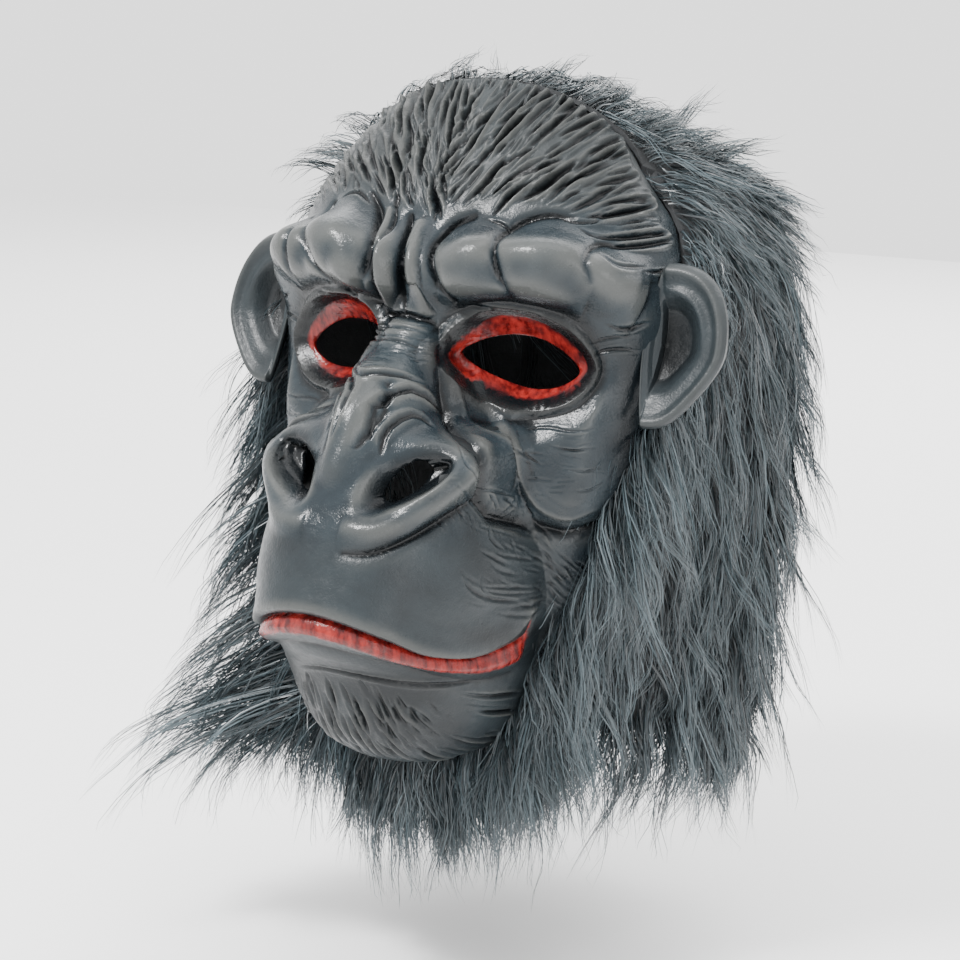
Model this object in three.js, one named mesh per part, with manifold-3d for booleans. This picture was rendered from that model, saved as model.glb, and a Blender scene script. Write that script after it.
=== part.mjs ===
// Gorilla mask: a latex face with two ears, sewn into a fabric hood with long fur.
//
// Millimetres, +Z up. The face looks along -Y, and +X is the wearer's left.
// The origin is the crown seat, where the inside of the hood rests on the head.
// "Front" below means -Y, so a point is written as side (x), front (-y) and up (z).

import * as THREE from 'three';
import { mergeVertices } from 'three/addons/utils/BufferGeometryUtils.js';
import Module from 'manifold-3d';

const wasm = await Module();
wasm.setup();

// Driving sizes
const FACE = 100;      // face unit: all tables below are in percent of it
const LATEX = 2.2;     // wall of the latex
const FABRIC = 1.6;    // wall of the hood's backing
const GAP = 0.45;      // clearance between pieces that touch
const unit = FACE / 100;

// The face's sections, chin to crown: the midline's front and up, the edge's side,
// front and up, the roundness of the arch, then the muzzle on it: how far behind
// the midline the cheeks lie, its half width and its squareness.
const SECTIONS = table('midFront midUp edgeSide edgeFront edgeUp round cheek muzzle square', [
  [102, -226, 34, 88, -214, 2.0, 10, 32, 2.2],
  [124, -224, 40, 86, -208, 2.1, 28, 36, 2.2],
  [142, -213, 44, 82, -200, 2.2, 44, 39, 2.3],
  [152, -199, 48, 80, -190, 2.3, 54, 42, 2.4],
  [160, -184, 51, 78, -179, 2.3, 58, 44, 2.5],
  [173, -171, 55, 76, -167, 2.3, 66, 48, 2.5],
  [176, -160, 59, 75, -156, 2.3, 67, 49, 2.5],
  [173, -141, 64, 74, -140, 2.3, 60, 48, 2.4],
  [163, -122, 69, 73, -124, 2.3, 51, 44, 2.3],
  [145, -104, 73, 72, -106, 2.3, 34, 37, 2.2],
  [125, -84, 77, 70, -86, 2.3, 14, 28, 2.0],
  [116, -66, 79, 66, -66, 2.3, 4, 22, 2.0],
  [113, -50, 78, 60, -46, 2.25, 0, 16, 2.0],
  [104, -29, 74, 56, -32, 2.2, 0, 16, 2.0],
  [88, -2, 67, 54, -22, 2.1, 0, 16, 2.0],
  [68, 20, 57, 51, -14, 2.0, 0, 16, 2.0],
]);

// Domes on the face: centre side and up, half width, half height, turn in degrees, rise
const DOMES = table('side up wide high turn rise', [
  [0, -80, 33, 22, 0, 9],      // root of the nose
  [0, -92, 30, 16, 0, 5],
  [38, -77, 40, 27, 0, -9.5],  // eye sockets
  [-38, -77, 40, 27, 0, -9.5],
  [21, -43, 12, 15, -15, 3.6], // folds of the left brow
  [47, -43, 18, 15, -8, 4],
  [66, -47, 11, 11, 0, 3],
  [-34, -40, 15, 19, 20, 5.5], // folds of the right brow
  [-24, -52, 7, 9, 20, 3],
  [-58, -46, 11, 13, 0, 4],
  [-1, -101, 13, 17, 0, 8],    // tip of the nose
]);
const NOSE_PAD = { side: 0, up: -104, wide: 30, high: 20, turn: 0, rise: 7 }; // pushed straight forward

// Ridges and grooves: which sides, half width, rise, how far the ends fade, path of side, up pairs
const STROKES = table('sides wide rise fade path', [
  ['both', 9.5, 9, 0.25, [4, -47, 18, -44, 40, -42, 60, -46, 74, -56]],                         // brow bar
  ['both', 4.5, 3.5, 0.4, [10, -53, 25, -53, 42, -52, 60, -56]],                                // its lower edge
  ['left', 2.6, -3.6, 0.4, [17, -58, 10, -50, 6, -40, 9, -32, 18, -27]],
  ['left', 2.4, -3.0, 0.5, [38, -55, 32, -46, 30, -37, 34, -30, 42, -26, 52, -27]],
  ['left', 3.6, 4.8, 0.4, [-17, -26, -13, -40, -10, -54, -12, -62]],                            // folds between the brows
  ['left', 3.8, 5.0, 0.4, [-3, -30, 0, -44, 4, -57, 7, -64]],
  ['left', 2.2, -3.8, 0.4, [-9, -28, -5, -44, -4, -58, -2, -65]],
  ['left', 2.4, -3.2, 0.4, [-30, -22, -22, -30, -17, -42, -20, -56]],
  ['left', 2.4, -3.4, 0.4, [-48, -26, -49, -38, -40, -50, -26, -60]],
  ['both', 3.2, -5.0, 0.35, [12, -66, 14, -80, 21, -97, 31, -116, 42, -131, 55, -138, 66, -134, 71, -122]], // groove round the cheek bag
]);

// Outlines on the left side, mirrored for the right
const EYE_HOLE = [15.5, -76, 21, -71.5, 30, -69, 40, -69.5, 50, -74, 56, -80.5, 50, -85.5, 41, -87.5, 31, -86, 22, -81.5];
const EYE_BAND = [12.5, -75.5, 18, -68, 29, -62.5, 42, -62.5, 54, -68, 60.5, -79, 55, -87.5, 42, -92, 29, -90, 18, -84];
const EYE_RING = [6, -76, 11, -65.5, 26, -57, 44, -57, 60, -64, 67, -78.5, 60, -92, 43, -97.5, 27, -96, 12, -88];
const CHEEK_BAG = [7, -72, 10, -88, 20, -105, 31, -120, 42, -131, 54, -136, 64, -132, 68.5, -120, 70, -100, 69, -82, 55, -92, 40, -98, 24, -94, 12, -84];
const NOSTRIL = ellipse({ side: 20.5, up: -116, long: 8.5, short: 4.2, turn: 52 });
const NOSTRIL_RING = ellipse({ side: 20, up: -114.5, long: 13.5, short: 9.5, turn: 52 });
const NOSE_WING = ellipse({ side: 20, up: -113.5, long: 18, short: 14.5, turn: 56 });

// Rise across nested outlines: 0 is the first outline, 1 the second and so on, below 0 inside
const EYE_PROFILE = { at: [-1, 0, 0.85, 1, 1.5, 2, 3], rise: [-5.5, -4, -1.4, -1, 3, -0.5, 0] };
const NOSTRIL_PROFILE = { at: [-1, 0, 0.5, 1, 1.5, 2], rise: [0, 1.5, 5.5, 8, 5, 0] };

// The seam of the mouth on the left side, and the rise above and below it
const MOUTH = [0, -161, 14, -163, 26, -168.5, 35, -176, 40, -178.5, 44, -176, 48, -166];
const LIP_PROFILE = { at: [-22, -16, -11, -7.2, -5, -2, 0, 2.5, 8, 14], rise: [0, 0.2, -0.8, 1.4, 2.4, 1.2, -1.4, 2.6, 1, 0] };
const MOUTH_FRONT = 98;   // the lips run back to here

// The hood's hoops, hem to forehead: how far along the face's edge each one starts,
// the front and up of its middle at the back, its roundness and bulge, then the fur
// on it: how far it reaches over the latex, the height of its pile at the back and
// sides, and how far it stands out sideways beside the face.
const HOOPS = table('edge backFront backUp round bulge over pile puff', [
  [0.00, -70, -238, 2.2, 62, 5, 13, 78],
  [0.14, -77, -212, 2.3, 55, 12, 14, 68],
  [0.28, -88, -170, 2.5, 46, 16, 13, 52],
  [0.45, -96, -122, 2.7, 28, 8, 11, 33],
  [0.60, -97, -84, 2.8, 18, -2, 10, 20],
  [0.70, -88, -46, 2.8, 12, -3, 11, 16],
  [0.78, -68, -19, 2.6, 9, -3, 14, 16],
  [0.86, -34, -3, 2.3, 6, -3, 19, 17],
  [0.92, 0, 0, 2.1, 3, -3, 24, 17],
  [0.97, 34, 9, 2.0, 1, -5, 20, 15],
  [1.00, 66, 19, 2.0, 0, -6, 9, 9],
]);

// Fur panels: hoops from and to as shares of the hood, share round the head (1 at the
// face's edge, 0 at the back), locks across and tiers down, and how far the tips hang
const PANELS = table('name from to start end locks tiers hang', [
  ['fur_left', 0, 0.56, 1, 0.4, 6, 4, 42],
  ['fur_right', 0, 0.56, -1, -0.4, 6, 4, 42],
  ['fur_back', 0, 0.56, 0.4, -0.4, 7, 4, 20],
  ['fur_crown', 0.56, 1, 1, -1, 9, 3, 0],
]);
const FLARE = 24;      // how far the hanging tips beside the face lean outward
const AHEAD = 0.3;     // and how much of it is forward, beside the chin
const CHIN_FUR = { half: 29, hang: 42, pile: 9, locks: 5 };

// Ears: how far the middle stands outside and before the face's edge, its height,
// half sizes, wall, and how far the top leans back
const EAR = { clear: 1.2, ahead: 13.2, up: -70, out: 24.5, in: 5, high: 29, wall: 2.4, lean: 8 };
const EAR_CUP = { at: [0, 0.35, 0.62, 0.8, 0.92, 1], rise: [-6, -5, -0.5, 2.4, 2.8, 0.4] };

// Mesh density
const FACE_COLUMNS = 42, FACE_ROWS = 50;   // both even: the inside has half as many

// Small tools

function table(columns, rows) {
  const names = columns.split(' ');
  return rows.map((row) => Object.fromEntries(names.map((name, i) => [name, row[i]])));
}

function ellipse({ side, up, long, short, turn }, steps = 12) {
  const t = THREE.MathUtils.degToRad(turn), out = [];
  for (let i = 0; i < steps; i++) {
    const a = (i / steps) * 2 * Math.PI, u = long * Math.cos(a), v = short * Math.sin(a);
    out.push(side + u * Math.cos(t) - v * Math.sin(t), up + u * Math.sin(t) + v * Math.cos(t));
  }
  return out;
}

const clamp = THREE.MathUtils.clamp;
const mix = THREE.MathUtils.lerp;
const smooth = (x) => { const t = clamp(x, 0, 1); return t * t * (3 - 2 * t); };
const point = (side, front, up) => new THREE.Vector3(side * unit, -front * unit, up * unit);

function along(xs, ys, x) {
  if (x <= xs[0]) return ys[0];
  for (let i = 1; i < xs.length; i++) {
    if (x <= xs[i]) return mix(ys[i - 1], ys[i], (x - xs[i - 1]) / (xs[i] - xs[i - 1]));
  }
  return ys[ys.length - 1];
}

// Smooth curve through rows of numbers at places t
function through(ts, rows, t) {
  let i = 0;
  while (i < ts.length - 2 && t > ts[i + 1]) i++;
  const h = ts[i + 1] - ts[i], s = (t - ts[i]) / h;
  const slope = (k) => {
    const a = Math.max(k - 1, 0), b = Math.min(k + 1, ts.length - 1);
    return rows[b].map((value, j) => (value - rows[a][j]) / (ts[b] - ts[a]));
  };
  const m0 = slope(i), m1 = slope(i + 1), s2 = s * s, s3 = s2 * s;
  return rows[i].map((value, j) =>
    (2 * s3 - 3 * s2 + 1) * value + (s3 - 2 * s2 + s) * h * m0[j]
    + (3 * s2 - 2 * s3) * rows[i + 1][j] + (s3 - s2) * h * m1[j]);
}

// Points of a path or closed outline, from side, up pairs, mirrored if side is -1
function pathPoints(pairs, mirror, closed, steps) {
  const points = [];
  for (let i = 0; i < pairs.length; i += 2) points.push(new THREE.Vector3(mirror * pairs[i], 0, pairs[i + 1]));
  return new THREE.CatmullRomCurve3(points, closed).getPoints(steps);
}

// The base of the face

const sectionRows = SECTIONS.map((s) => Object.values(s));
const sectionPlaces = [0];
for (let i = 1; i < SECTIONS.length; i++) {
  const a = SECTIONS[i - 1], b = SECTIONS[i];
  sectionPlaces.push(sectionPlaces[i - 1] + Math.hypot(b.midFront - a.midFront, b.midUp - a.midUp));
}
const faceLength = sectionPlaces[sectionPlaces.length - 1];

// One section at a place from chin (0) to crown (1): its points from midline to edge and the length so far
function sectionLine(place, samples = 120) {
  const [midFront, midUp, edgeSide, edgeFront, edgeUp, round, cheek, muzzle, square] =
    through(sectionPlaces, sectionRows, place * faceLength);
  const drop = Math.hypot(midFront - edgeFront, midUp - edgeUp);
  const arch = (x, n) => 1 - Math.pow(1 - Math.pow(clamp(x, 0, 1), n), 1 / n);
  const sides = [];
  for (let i = 0; i <= samples; i++) {
    const s = Math.sin((i / samples) * Math.PI / 2);
    sides.push(edgeSide * s, Math.min(muzzle, edgeSide) * s * 0.9999);
  }
  sides.sort((a, b) => a - b);
  const blend = 14 * Math.min(1, cheek / 14 + 0.05);
  const depth = (x) => {
    const face = cheek + (drop - cheek) * arch(x / edgeSide, round);
    if (cheek <= 0.5) return face;
    const snout = x < muzzle ? drop * arch(x / muzzle, square) : 1000;
    const h = Math.max(blend - Math.abs(face - snout), 0) / blend;
    return Math.min(face, snout) - h * h * blend * 0.25;
  };
  const start = cheek > 0.5 ? depth(0) : 0;
  const points = [], length = [0];
  for (const x of sides) {
    const d = clamp(depth(x) - start * clamp(1 - x / muzzle, 0, 1), 0, drop) / drop;
    points.push(point(x, mix(midFront, edgeFront, d), mix(midUp, edgeUp, d)));
    const n = points.length;
    if (n > 1) length.push(length[n - 2] + points[n - 1].distanceTo(points[n - 2]));
  }
  return { points, length };
}

// A point of the base face at a distance from the midline, or from the edge if negative
function onSection(line, distance) {
  const total = line.length[line.length.length - 1];
  const want = clamp(distance < 0 ? total + distance : distance, 0, total);
  let i = 1;
  while (i < line.length.length - 1 && line.length[i] < want) i++;
  const span = line.length[i] - line.length[i - 1];
  return line.points[i - 1].clone().lerp(line.points[i], span > 0 ? (want - line.length[i - 1]) / span : 0);
}

function basePoint(place, distance, side) {
  const p = onSection(sectionLine(place), distance);
  p.x *= side;
  return p;
}

// Rows crowd together at the eyes and nose, columns at the midline
const rowPlaces = spread(FACE_ROWS, (p) => (p > 0.36 && p < 0.8 ? 1.4 : 0.85));
function spread(count, density) {
  const steps = 400, sum = [0], places = [0];
  for (let i = 1; i <= steps; i++) {
    sum.push(sum[i - 1] + density((i - 0.5) / steps));
    places.push(i / steps);
  }
  return Array.from({ length: count + 1 }, (_, i) => along(sum, places, (i / count) * sum[steps]));
}
const columnShare = (q) => 0.72 * q + 0.28 * q * q;

function baseGrid(columns, places) {
  return places.map((place) => {
    const line = sectionLine(place), total = line.length[line.length.length - 1];
    return Array.from({ length: columns + 1 }, (_, i) => {
      const q = (2 * i) / columns - 1;
      const p = onSection(line, total * columnShare(Math.abs(q)));
      if (q < 0) p.x = -p.x;
      return p;
    });
  });
}

// Outward directions of a grid of points
function gridNormals(grid) {
  return grid.map((row, j) => row.map((_, i) => {
    const across = row[Math.min(i + 1, row.length - 1)].clone().sub(row[Math.max(i - 1, 0)]);
    const upward = grid[Math.min(j + 1, grid.length - 1)][i].clone().sub(grid[Math.max(j - 1, 0)][i]);
    return across.cross(upward).normalize();
  }));
}

// Evens out a grid of shifts, so that steep forms stay clean on a coarse mesh
function evenOut(grid, share = 0.4) {
  const rows = grid.length, columns = grid[0].length;
  return grid.map((row, j) => row.map((shift, i) => {
    const around = new THREE.Vector3();
    for (const [b, a] of [[-1, 0], [1, 0], [0, -1], [0, 1]]) {
      around.addScaledVector(grid[clamp(j + b, 0, rows - 1)][clamp(i + a, 0, columns - 1)], share / 4);
    }
    return around.addScaledVector(shift, 1 - share);
  }));
}

// The features, worked out as a shift of each point of the base

const finePlaces = Array.from({ length: 121 }, (_, i) => i / 120);
const fineBase = baseGrid(100, finePlaces).flat();

// The base's front at a place, seen from the front
function frontAt(side, up) {
  let best = null, score = Infinity;
  for (const p of fineBase) {
    const d = Math.hypot(p.x - side * unit, p.z - up * unit);
    const s = Math.max(d, 1.6) + p.y * 0.02;
    if (s < score) { score = s; best = p; }
  }
  return -best.y / unit;
}

// A path laid on the base, in millimetres
function layOnFace(points) {
  const fronts = points.map((p) => frontAt(p.x, p.z));
  return points.map((p, i) => {
    const front = (fronts[Math.max(i - 1, 0)] + fronts[i] + fronts[Math.min(i + 1, points.length - 1)]) / 3;
    return point(p.x, front, p.z);
  });
}

function nearPath(p, path) {
  let distance = Infinity, share = 0;
  const ab = new THREE.Vector3(), ap = new THREE.Vector3();
  for (let i = 1; i < path.length; i++) {
    ab.subVectors(path[i], path[i - 1]);
    ap.subVectors(p, path[i - 1]);
    const t = clamp(ap.dot(ab) / Math.max(ab.lengthSq(), 1e-9), 0, 1);
    const d = ap.addScaledVector(ab, -t).length();
    if (d < distance) { distance = d; share = (i - 1 + t) / (path.length - 1); }
  }
  return { distance, share };
}

const strokes = STROKES.flatMap((s) => (s.sides === 'both' ? [1, -1] : [1]).map((side) => ({
  ...s, path: layOnFace(pathPoints(s.path, side, false, 16)),
})));

function flatOutline(pairs, side) {
  return pathPoints(pairs, side, true, 40).map((p) => new THREE.Vector2(p.x * unit, p.z * unit));
}

// Distance from an outline seen from the front, below zero inside it
function outlineDistance(x, z, outline) {
  let best = Infinity, inside = false;
  for (let i = 1; i < outline.length; i++) {
    const a = outline[i - 1], b = outline[i];
    const dx = b.x - a.x, dz = b.y - a.y;
    const t = clamp(((x - a.x) * dx + (z - a.y) * dz) / Math.max(dx * dx + dz * dz, 1e-9), 0, 1);
    best = Math.min(best, Math.hypot(x - a.x - t * dx, z - a.y - t * dz));
    if ((a.y > z) !== (b.y > z) && x < (dx * (z - a.y)) / dz + a.x) inside = !inside;
  }
  return inside ? -best : best;
}

// Where a point lies among nested outlines: 0 on the first, 1 on the second, below 0 inside
function nestedPlace(x, z, outlines) {
  const d = outlines.map((o) => outlineDistance(x, z, o));
  if (d[0] < 0) return -smooth(-d[0] / (3 * unit));
  for (let k = 0; k < d.length - 1; k++) {
    if (d[k + 1] < 0) return k + d[k] / (d[k] - d[k + 1] + 1e-9);
  }
  return d.length - 1 + clamp(d[d.length - 1] / (4 * unit), 0, 1);
}

const eyeOutlines = [1, -1].map((side) => [EYE_HOLE, EYE_BAND, EYE_RING].map((o) => flatOutline(o, side)));
const noseOutlines = [1, -1].map((side) => [NOSTRIL, NOSTRIL_RING, NOSE_WING].map((o) => flatOutline(o, side)));
const bagOutlines = [1, -1].map((side) => flatOutline(CHEEK_BAG, side));
const mouthLine = pathPoints(MOUTH, 1, false, 40);

function dome(p, { side, up, wide, high, turn, rise }) {
  const t = THREE.MathUtils.degToRad(turn), x = p.x / unit - side, z = p.z / unit - up;
  const u = (x * Math.cos(t) + z * Math.sin(t)) / wide, v = (z * Math.cos(t) - x * Math.sin(t)) / high;
  return rise * smooth(1.15 - Math.hypot(u, v));
}

function sculpt(p, normal) {
  const out = new THREE.Vector3();
  if (normal.y > 0.35) return p.clone();
  const push = (rise, direction) => out.addScaledVector(direction, rise * unit);
  const forward = new THREE.Vector3(0, -1, 0);
  for (const d of DOMES) push(dome(p, d), normal);
  push(dome(p, NOSE_PAD), forward);
  for (const s of strokes) {
    const { distance, share } = nearPath(p, s.path);
    if (distance > 3 * s.wide * unit) continue;
    const ends = Math.pow(Math.max(Math.sin(Math.PI * clamp(share, 0.001, 0.999)), 0), s.fade);
    push(s.rise * ends * Math.exp(-((distance / (s.wide * unit)) ** 2)), normal);
  }
  for (const bag of bagOutlines) push(3.2 * smooth(-outlineDistance(p.x, p.z, bag) / (7 * unit)), normal);
  for (const eye of eyeOutlines) {
    push(along(EYE_PROFILE.at, EYE_PROFILE.rise, nestedPlace(p.x, p.z, eye)), normal);
  }
  noseOutlines.forEach((nose, i) => {
    const place = nestedPlace(p.x, p.z, nose);
    if (place >= 2) return;
    const direction = normal.clone().multiplyScalar(0.85).add(new THREE.Vector3(i ? -0.12 : 0.12, -0.35, 0));
    push(along(NOSTRIL_PROFILE.at, NOSTRIL_PROFILE.rise, place), direction);
  });
  if (p.z < -130 * unit && Math.abs(p.x) < 52 * unit && normal.y < 0.2) {
    const seam = along(mouthLine.map((m) => m.x), mouthLine.map((m) => m.z), Math.abs(p.x) / unit);
    push(along(LIP_PROFILE.at, LIP_PROFILE.rise, p.z / unit - seam) * smooth((-p.y / unit - MOUTH_FRONT) / 10), normal);
  }
  return p.clone().add(out);
}

// Solids from grids of points

function solid(points, triangles) {
  const geometry = new THREE.BufferGeometry();
  geometry.setAttribute('position', new THREE.Float32BufferAttribute(points.flatMap((p) => [p.x, p.y, p.z]), 3));
  geometry.setIndex(triangles.flat());
  return geometry;
}

// A wall between an outer and an inner grid, whose inner one may be coarser by a whole step
function wall(outer, inner) {
  const points = [...outer.flat(), ...inner.flat()], triangles = [];
  const oc = outer[0].length, ic = inner[0].length, first = outer.length * oc;
  const step = (oc - 1) / (ic - 1);
  const o = (j, i) => j * oc + i, n = (j, i) => first + j * ic + i;
  for (let j = 0; j < outer.length - 1; j++) {
    for (let i = 0; i < oc - 1; i++) {
      const flip = outer[j][i].distanceTo(outer[j + 1][i + 1]) > outer[j][i + 1].distanceTo(outer[j + 1][i]);
      if (flip) triangles.push([o(j, i), o(j, i + 1), o(j + 1, i)], [o(j, i + 1), o(j + 1, i + 1), o(j + 1, i)]);
      else triangles.push([o(j, i), o(j, i + 1), o(j + 1, i + 1)], [o(j, i), o(j + 1, i + 1), o(j + 1, i)]);
    }
  }
  for (let j = 0; j < inner.length - 1; j++) {
    for (let i = 0; i < ic - 1; i++) {
      triangles.push([n(j, i), n(j + 1, i + 1), n(j, i + 1)], [n(j, i), n(j + 1, i), n(j + 1, i + 1)]);
    }
  }
  // the rim, walked once round: the outer grid's edge first
  const edge = (rows, columns, at) => {
    const list = [];
    for (let i = 0; i < columns; i++) list.push(at(0, i));
    for (let j = 0; j < rows; j++) list.push(at(j, columns));
    for (let i = columns; i > 0; i--) list.push(at(rows, i));
    for (let j = rows; j > 0; j--) list.push(at(j, 0));
    return list;
  };
  const outerEdge = edge(outer.length - 1, oc - 1, o), innerEdge = edge(inner.length - 1, ic - 1, n);
  for (let k = 0; k < innerEdge.length; k++) {
    const a = innerEdge[k], b = innerEdge[(k + 1) % innerEdge.length];
    for (let s = 0; s < step; s++) {
      const from = outerEdge[k * step + s], to = outerEdge[(k * step + s + 1) % outerEdge.length];
      triangles.push([to, from, a]);
    }
    triangles.push([outerEdge[((k + 1) * step) % outerEdge.length], a, b]);
  }
  return solid(points, triangles);
}

// Booleans

function toManifold(geometry) {
  const bare = geometry.clone();
  bare.deleteAttribute('normal');
  bare.deleteAttribute('uv');
  const merged = mergeVertices(bare, 1e-4);
  return new wasm.Manifold(new wasm.Mesh({
    numProp: 3,
    vertProperties: new Float32Array(merged.attributes.position.array),
    triVerts: new Uint32Array(merged.index.array),
  }));
}

function toGeometry(manifold) {
  const mesh = manifold.getMesh();
  const geometry = new THREE.BufferGeometry();
  geometry.setAttribute('position', new THREE.BufferAttribute(new Float32Array(mesh.vertProperties), 3));
  geometry.setIndex(Array.from(mesh.triVerts));
  return geometry;
}

// A straight prism on an outline seen from the front
function prism(outline, front, depth) {
  const shape = new THREE.Shape(outline.slice(0, -1));
  const geometry = new THREE.ExtrudeGeometry(shape, { depth: depth * unit, bevelEnabled: false, steps: 1 });
  geometry.rotateX(Math.PI / 2);
  geometry.translate(0, -(front - depth) * unit, 0);
  return geometry;
}

// The latex face

function faceWall() {
  const base = baseGrid(FACE_COLUMNS, rowPlaces), normals = gridNormals(base);
  const shifts = base.map((row, j) => row.map((p, i) => sculpt(p, normals[j][i]).sub(p)));
  const even = evenOut(shifts);
  const outer = base.map((row, j) => row.map((p, i) => p.clone().add(even[j][i])));
  const rise = outer.map((row, j) => row.map((p, i) => p.clone().sub(base[j][i]).dot(normals[j][i])));
  const inner = [];
  for (let j = 0; j <= FACE_ROWS; j += 2) {
    const row = [];
    for (let i = 0; i <= FACE_COLUMNS; i += 2) {
      let lowest = Infinity;
      for (let b = -2; b <= 2; b++) {
        for (let a = -2; a <= 2; a++) {
          const value = rise[clamp(j + b, 0, FACE_ROWS)][clamp(i + a, 0, FACE_COLUMNS)];
          lowest = Math.min(lowest, value + (Math.abs(a) + Math.abs(b) > 2 ? 1.2 * unit : 0));
        }
      }
      const side = outer[j][i].clone().sub(base[j][i]).addScaledVector(normals[j][i], -rise[j][i]);
      row.push(base[j][i].clone().add(side).addScaledVector(normals[j][i], lowest - LATEX));
    }
    inner.push(row);
  }
  return { outer, inner };
}

// The fabric hood

const hoopRows = HOOPS.map((h) => Object.values(h));
const hoopPlaces = HOOPS.map((_, i) => i / (HOOPS.length - 1));

// The hoop at a share of the hood from hem (0) to forehead (1), from the face's edge to the back
function hoop(share, samples = 60) {
  const [edge, backFront, backUp, round, bulge, over, pile, puff] = through(hoopPlaces, hoopRows, share);
  const start = onSection(sectionLine(clamp(edge, 0, 1)), -0.001);
  start.y += 4 * GAP;
  const end = point(0, backFront, backUp);
  const points = [], length = [0];
  for (let i = 0; i <= samples; i++) {
    const a = (i / samples) * Math.PI / 2;
    const x = Math.pow(Math.cos(a), 2 / round), f = Math.pow(Math.sin(a), 2 / round);
    const side = start.x * (i === samples ? 0 : x) + bulge * unit * Math.sin(2 * a) * Math.cos(a);
    points.push(new THREE.Vector3(side, mix(start.y, end.y, f), mix(start.z, end.z, f)));
    if (i) length.push(length[i - 1] + points[i].distanceTo(points[i - 1]));
  }
  return { points, length, edge, over, pile, puff };
}

// A point of the hood's inside: round is 1 at the left of the face, 0 at the back, -1 at the right
function hoodPoint(share, round, line = hoop(share)) {
  const p = onSection(line, line.length[line.length.length - 1] * (1 - Math.abs(round)));
  if (round < 0) p.x = -p.x;
  return p;
}

function hoodNormal(share, round) {
  const s = clamp(share, 0.01, 0.99), r = clamp(round, -0.985, 0.985);
  const up = hoodPoint(s + 0.01, r).sub(hoodPoint(s - 0.01, r));
  const across = hoodPoint(s, r + 0.015).sub(hoodPoint(s, r - 0.015));
  return across.cross(up).normalize().multiplyScalar(-1);
}

const shares = (count, from, to) => Array.from({ length: count + 1 }, (_, i) => mix(from, to, i / count));

function hoodWall(rows = 11, columns = 24) {
  const inner = [], outer = [];
  for (const s of shares(rows, 0, 1)) {
    const line = hoop(s);
    const points = shares(columns, 1, -1).map((r) => hoodPoint(s, r, line));
    inner.push(points);
    outer.push(points.map((p, i) => p.clone().addScaledVector(hoodNormal(s, mix(1, -1, i / columns)), FABRIC)));
  }
  return wall(outer, inner);
}

const flipped = (grid) => grid.map((row) => [...row].reverse());

// Fur: panels of locks that share one base, laid round the hood and over the latex margin

function furBase(share, round, over) {
  const normal = hoodNormal(share, round);
  const ground = hoodPoint(clamp(share, 0, 1), clamp(round, -1, 1)).addScaledVector(normal, FABRIC + 3 * GAP);
  return { ground, normal };
}

function facePatch(edge, distance, side) {
  const e = 1.5 * unit;
  const place = clamp(edge, 0.01, 0.99);
  const p = basePoint(place, -distance, side);
  const across = basePoint(place, -(distance + e), side).sub(basePoint(place, -Math.max(distance - e, 0.01), side));
  const up = basePoint(place + 0.01, -distance, side).sub(basePoint(place - 0.01, -distance, side));
  const normal = across.cross(up).normalize().multiplyScalar(-side);
  return { ground: sculpt(p, normal).addScaledVector(normal, 6 * GAP), normal };
}

function furPanel({ name, from, to, start, end, locks, tiers, hang }) {
  const columns = locks * 2, rows = tiers * 3;
  const inner = [], outer = [];
  const lower = from > 0 ? from + 0.003 : from, upper = from > 0 ? to : to - 0.003;
  const inset = 0.003 * Math.sign(end - start);
  const left = Math.abs(start) < 1 ? start + inset : start;
  const right = Math.abs(end) < 1 ? end - inset : end;
  const places = shares(rows, lower, upper);
  if (hang) places.unshift(-1, -0.5);
  places.forEach((s, j) => {
    const line = hoop(clamp(s, 0, 1)), total = line.length[line.length.length - 1];
    const innerRow = [], outerRow = [];
    shares(columns, 0, 1).forEach((q, i) => {
      const tip = i % 2 ? 1 : 0.25 + 0.2 * ((i * 7) % 3);
      // the panel's front end follows how far the fur reaches over the latex
      const reach = (r) => Math.sign(r) * (Math.abs(r) + (Math.abs(r) === 1 ? (line.over * unit) / total : 0));
      const round = mix(reach(left), reach(right), q);
      let { ground, normal } = Math.abs(round) <= 1
        ? furBase(clamp(s, 0, 1), round)
        : facePatch(line.edge, (Math.abs(round) - 1) * total, Math.sign(round));
      // beside the face the fur stands out sideways, the more the lower it is
      const beside = smooth((Math.abs(round) - 0.62) / 0.36);
      const sideways = new THREE.Vector3(Math.sign(round), 0, 0);
      const outward = normal.clone().lerp(sideways, beside * clamp((line.puff - line.pile) / 40, 0, 0.75))
        .add(new THREE.Vector3(0, -AHEAD * beside * smooth((0.5 - s) / 0.35), 0)).normalize();
      if (s < 0) {
        ground = ground.clone();
        ground.z += s * hang * tip * unit;
        ground.addScaledVector(outward, -s * (2 + FLARE * beside) * unit);
      }
      const valley = i % 2 ? 0 : 2.6;
      const tier = 2.4 * ((((s < 0 ? 0 : j) + (i % 4 < 2 ? 0 : 1)) % 3) / 2);
      const ends = (i === 0 || i === columns) && Math.abs(round) > 0.9 ? mix(0.62, 0.35, smooth(s / 0.3)) : 1;
      const taper = s < 0 ? mix(1, 0.14, -s) : 1;
      const rim = !hang && j === places.length - 1 ? 0.6 : 1;
      const lift = (mix(line.pile, line.puff, beside) - valley - tier) * unit * ends * taper * rim;
      innerRow.push(ground);
      outerRow.push(ground.clone().addScaledVector(outward, lift));
    });
    inner.push(innerRow);
    outer.push(outerRow);
  });
  return start > end ? wall(outer, inner) : wall(flipped(outer), flipped(inner));
}

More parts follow.
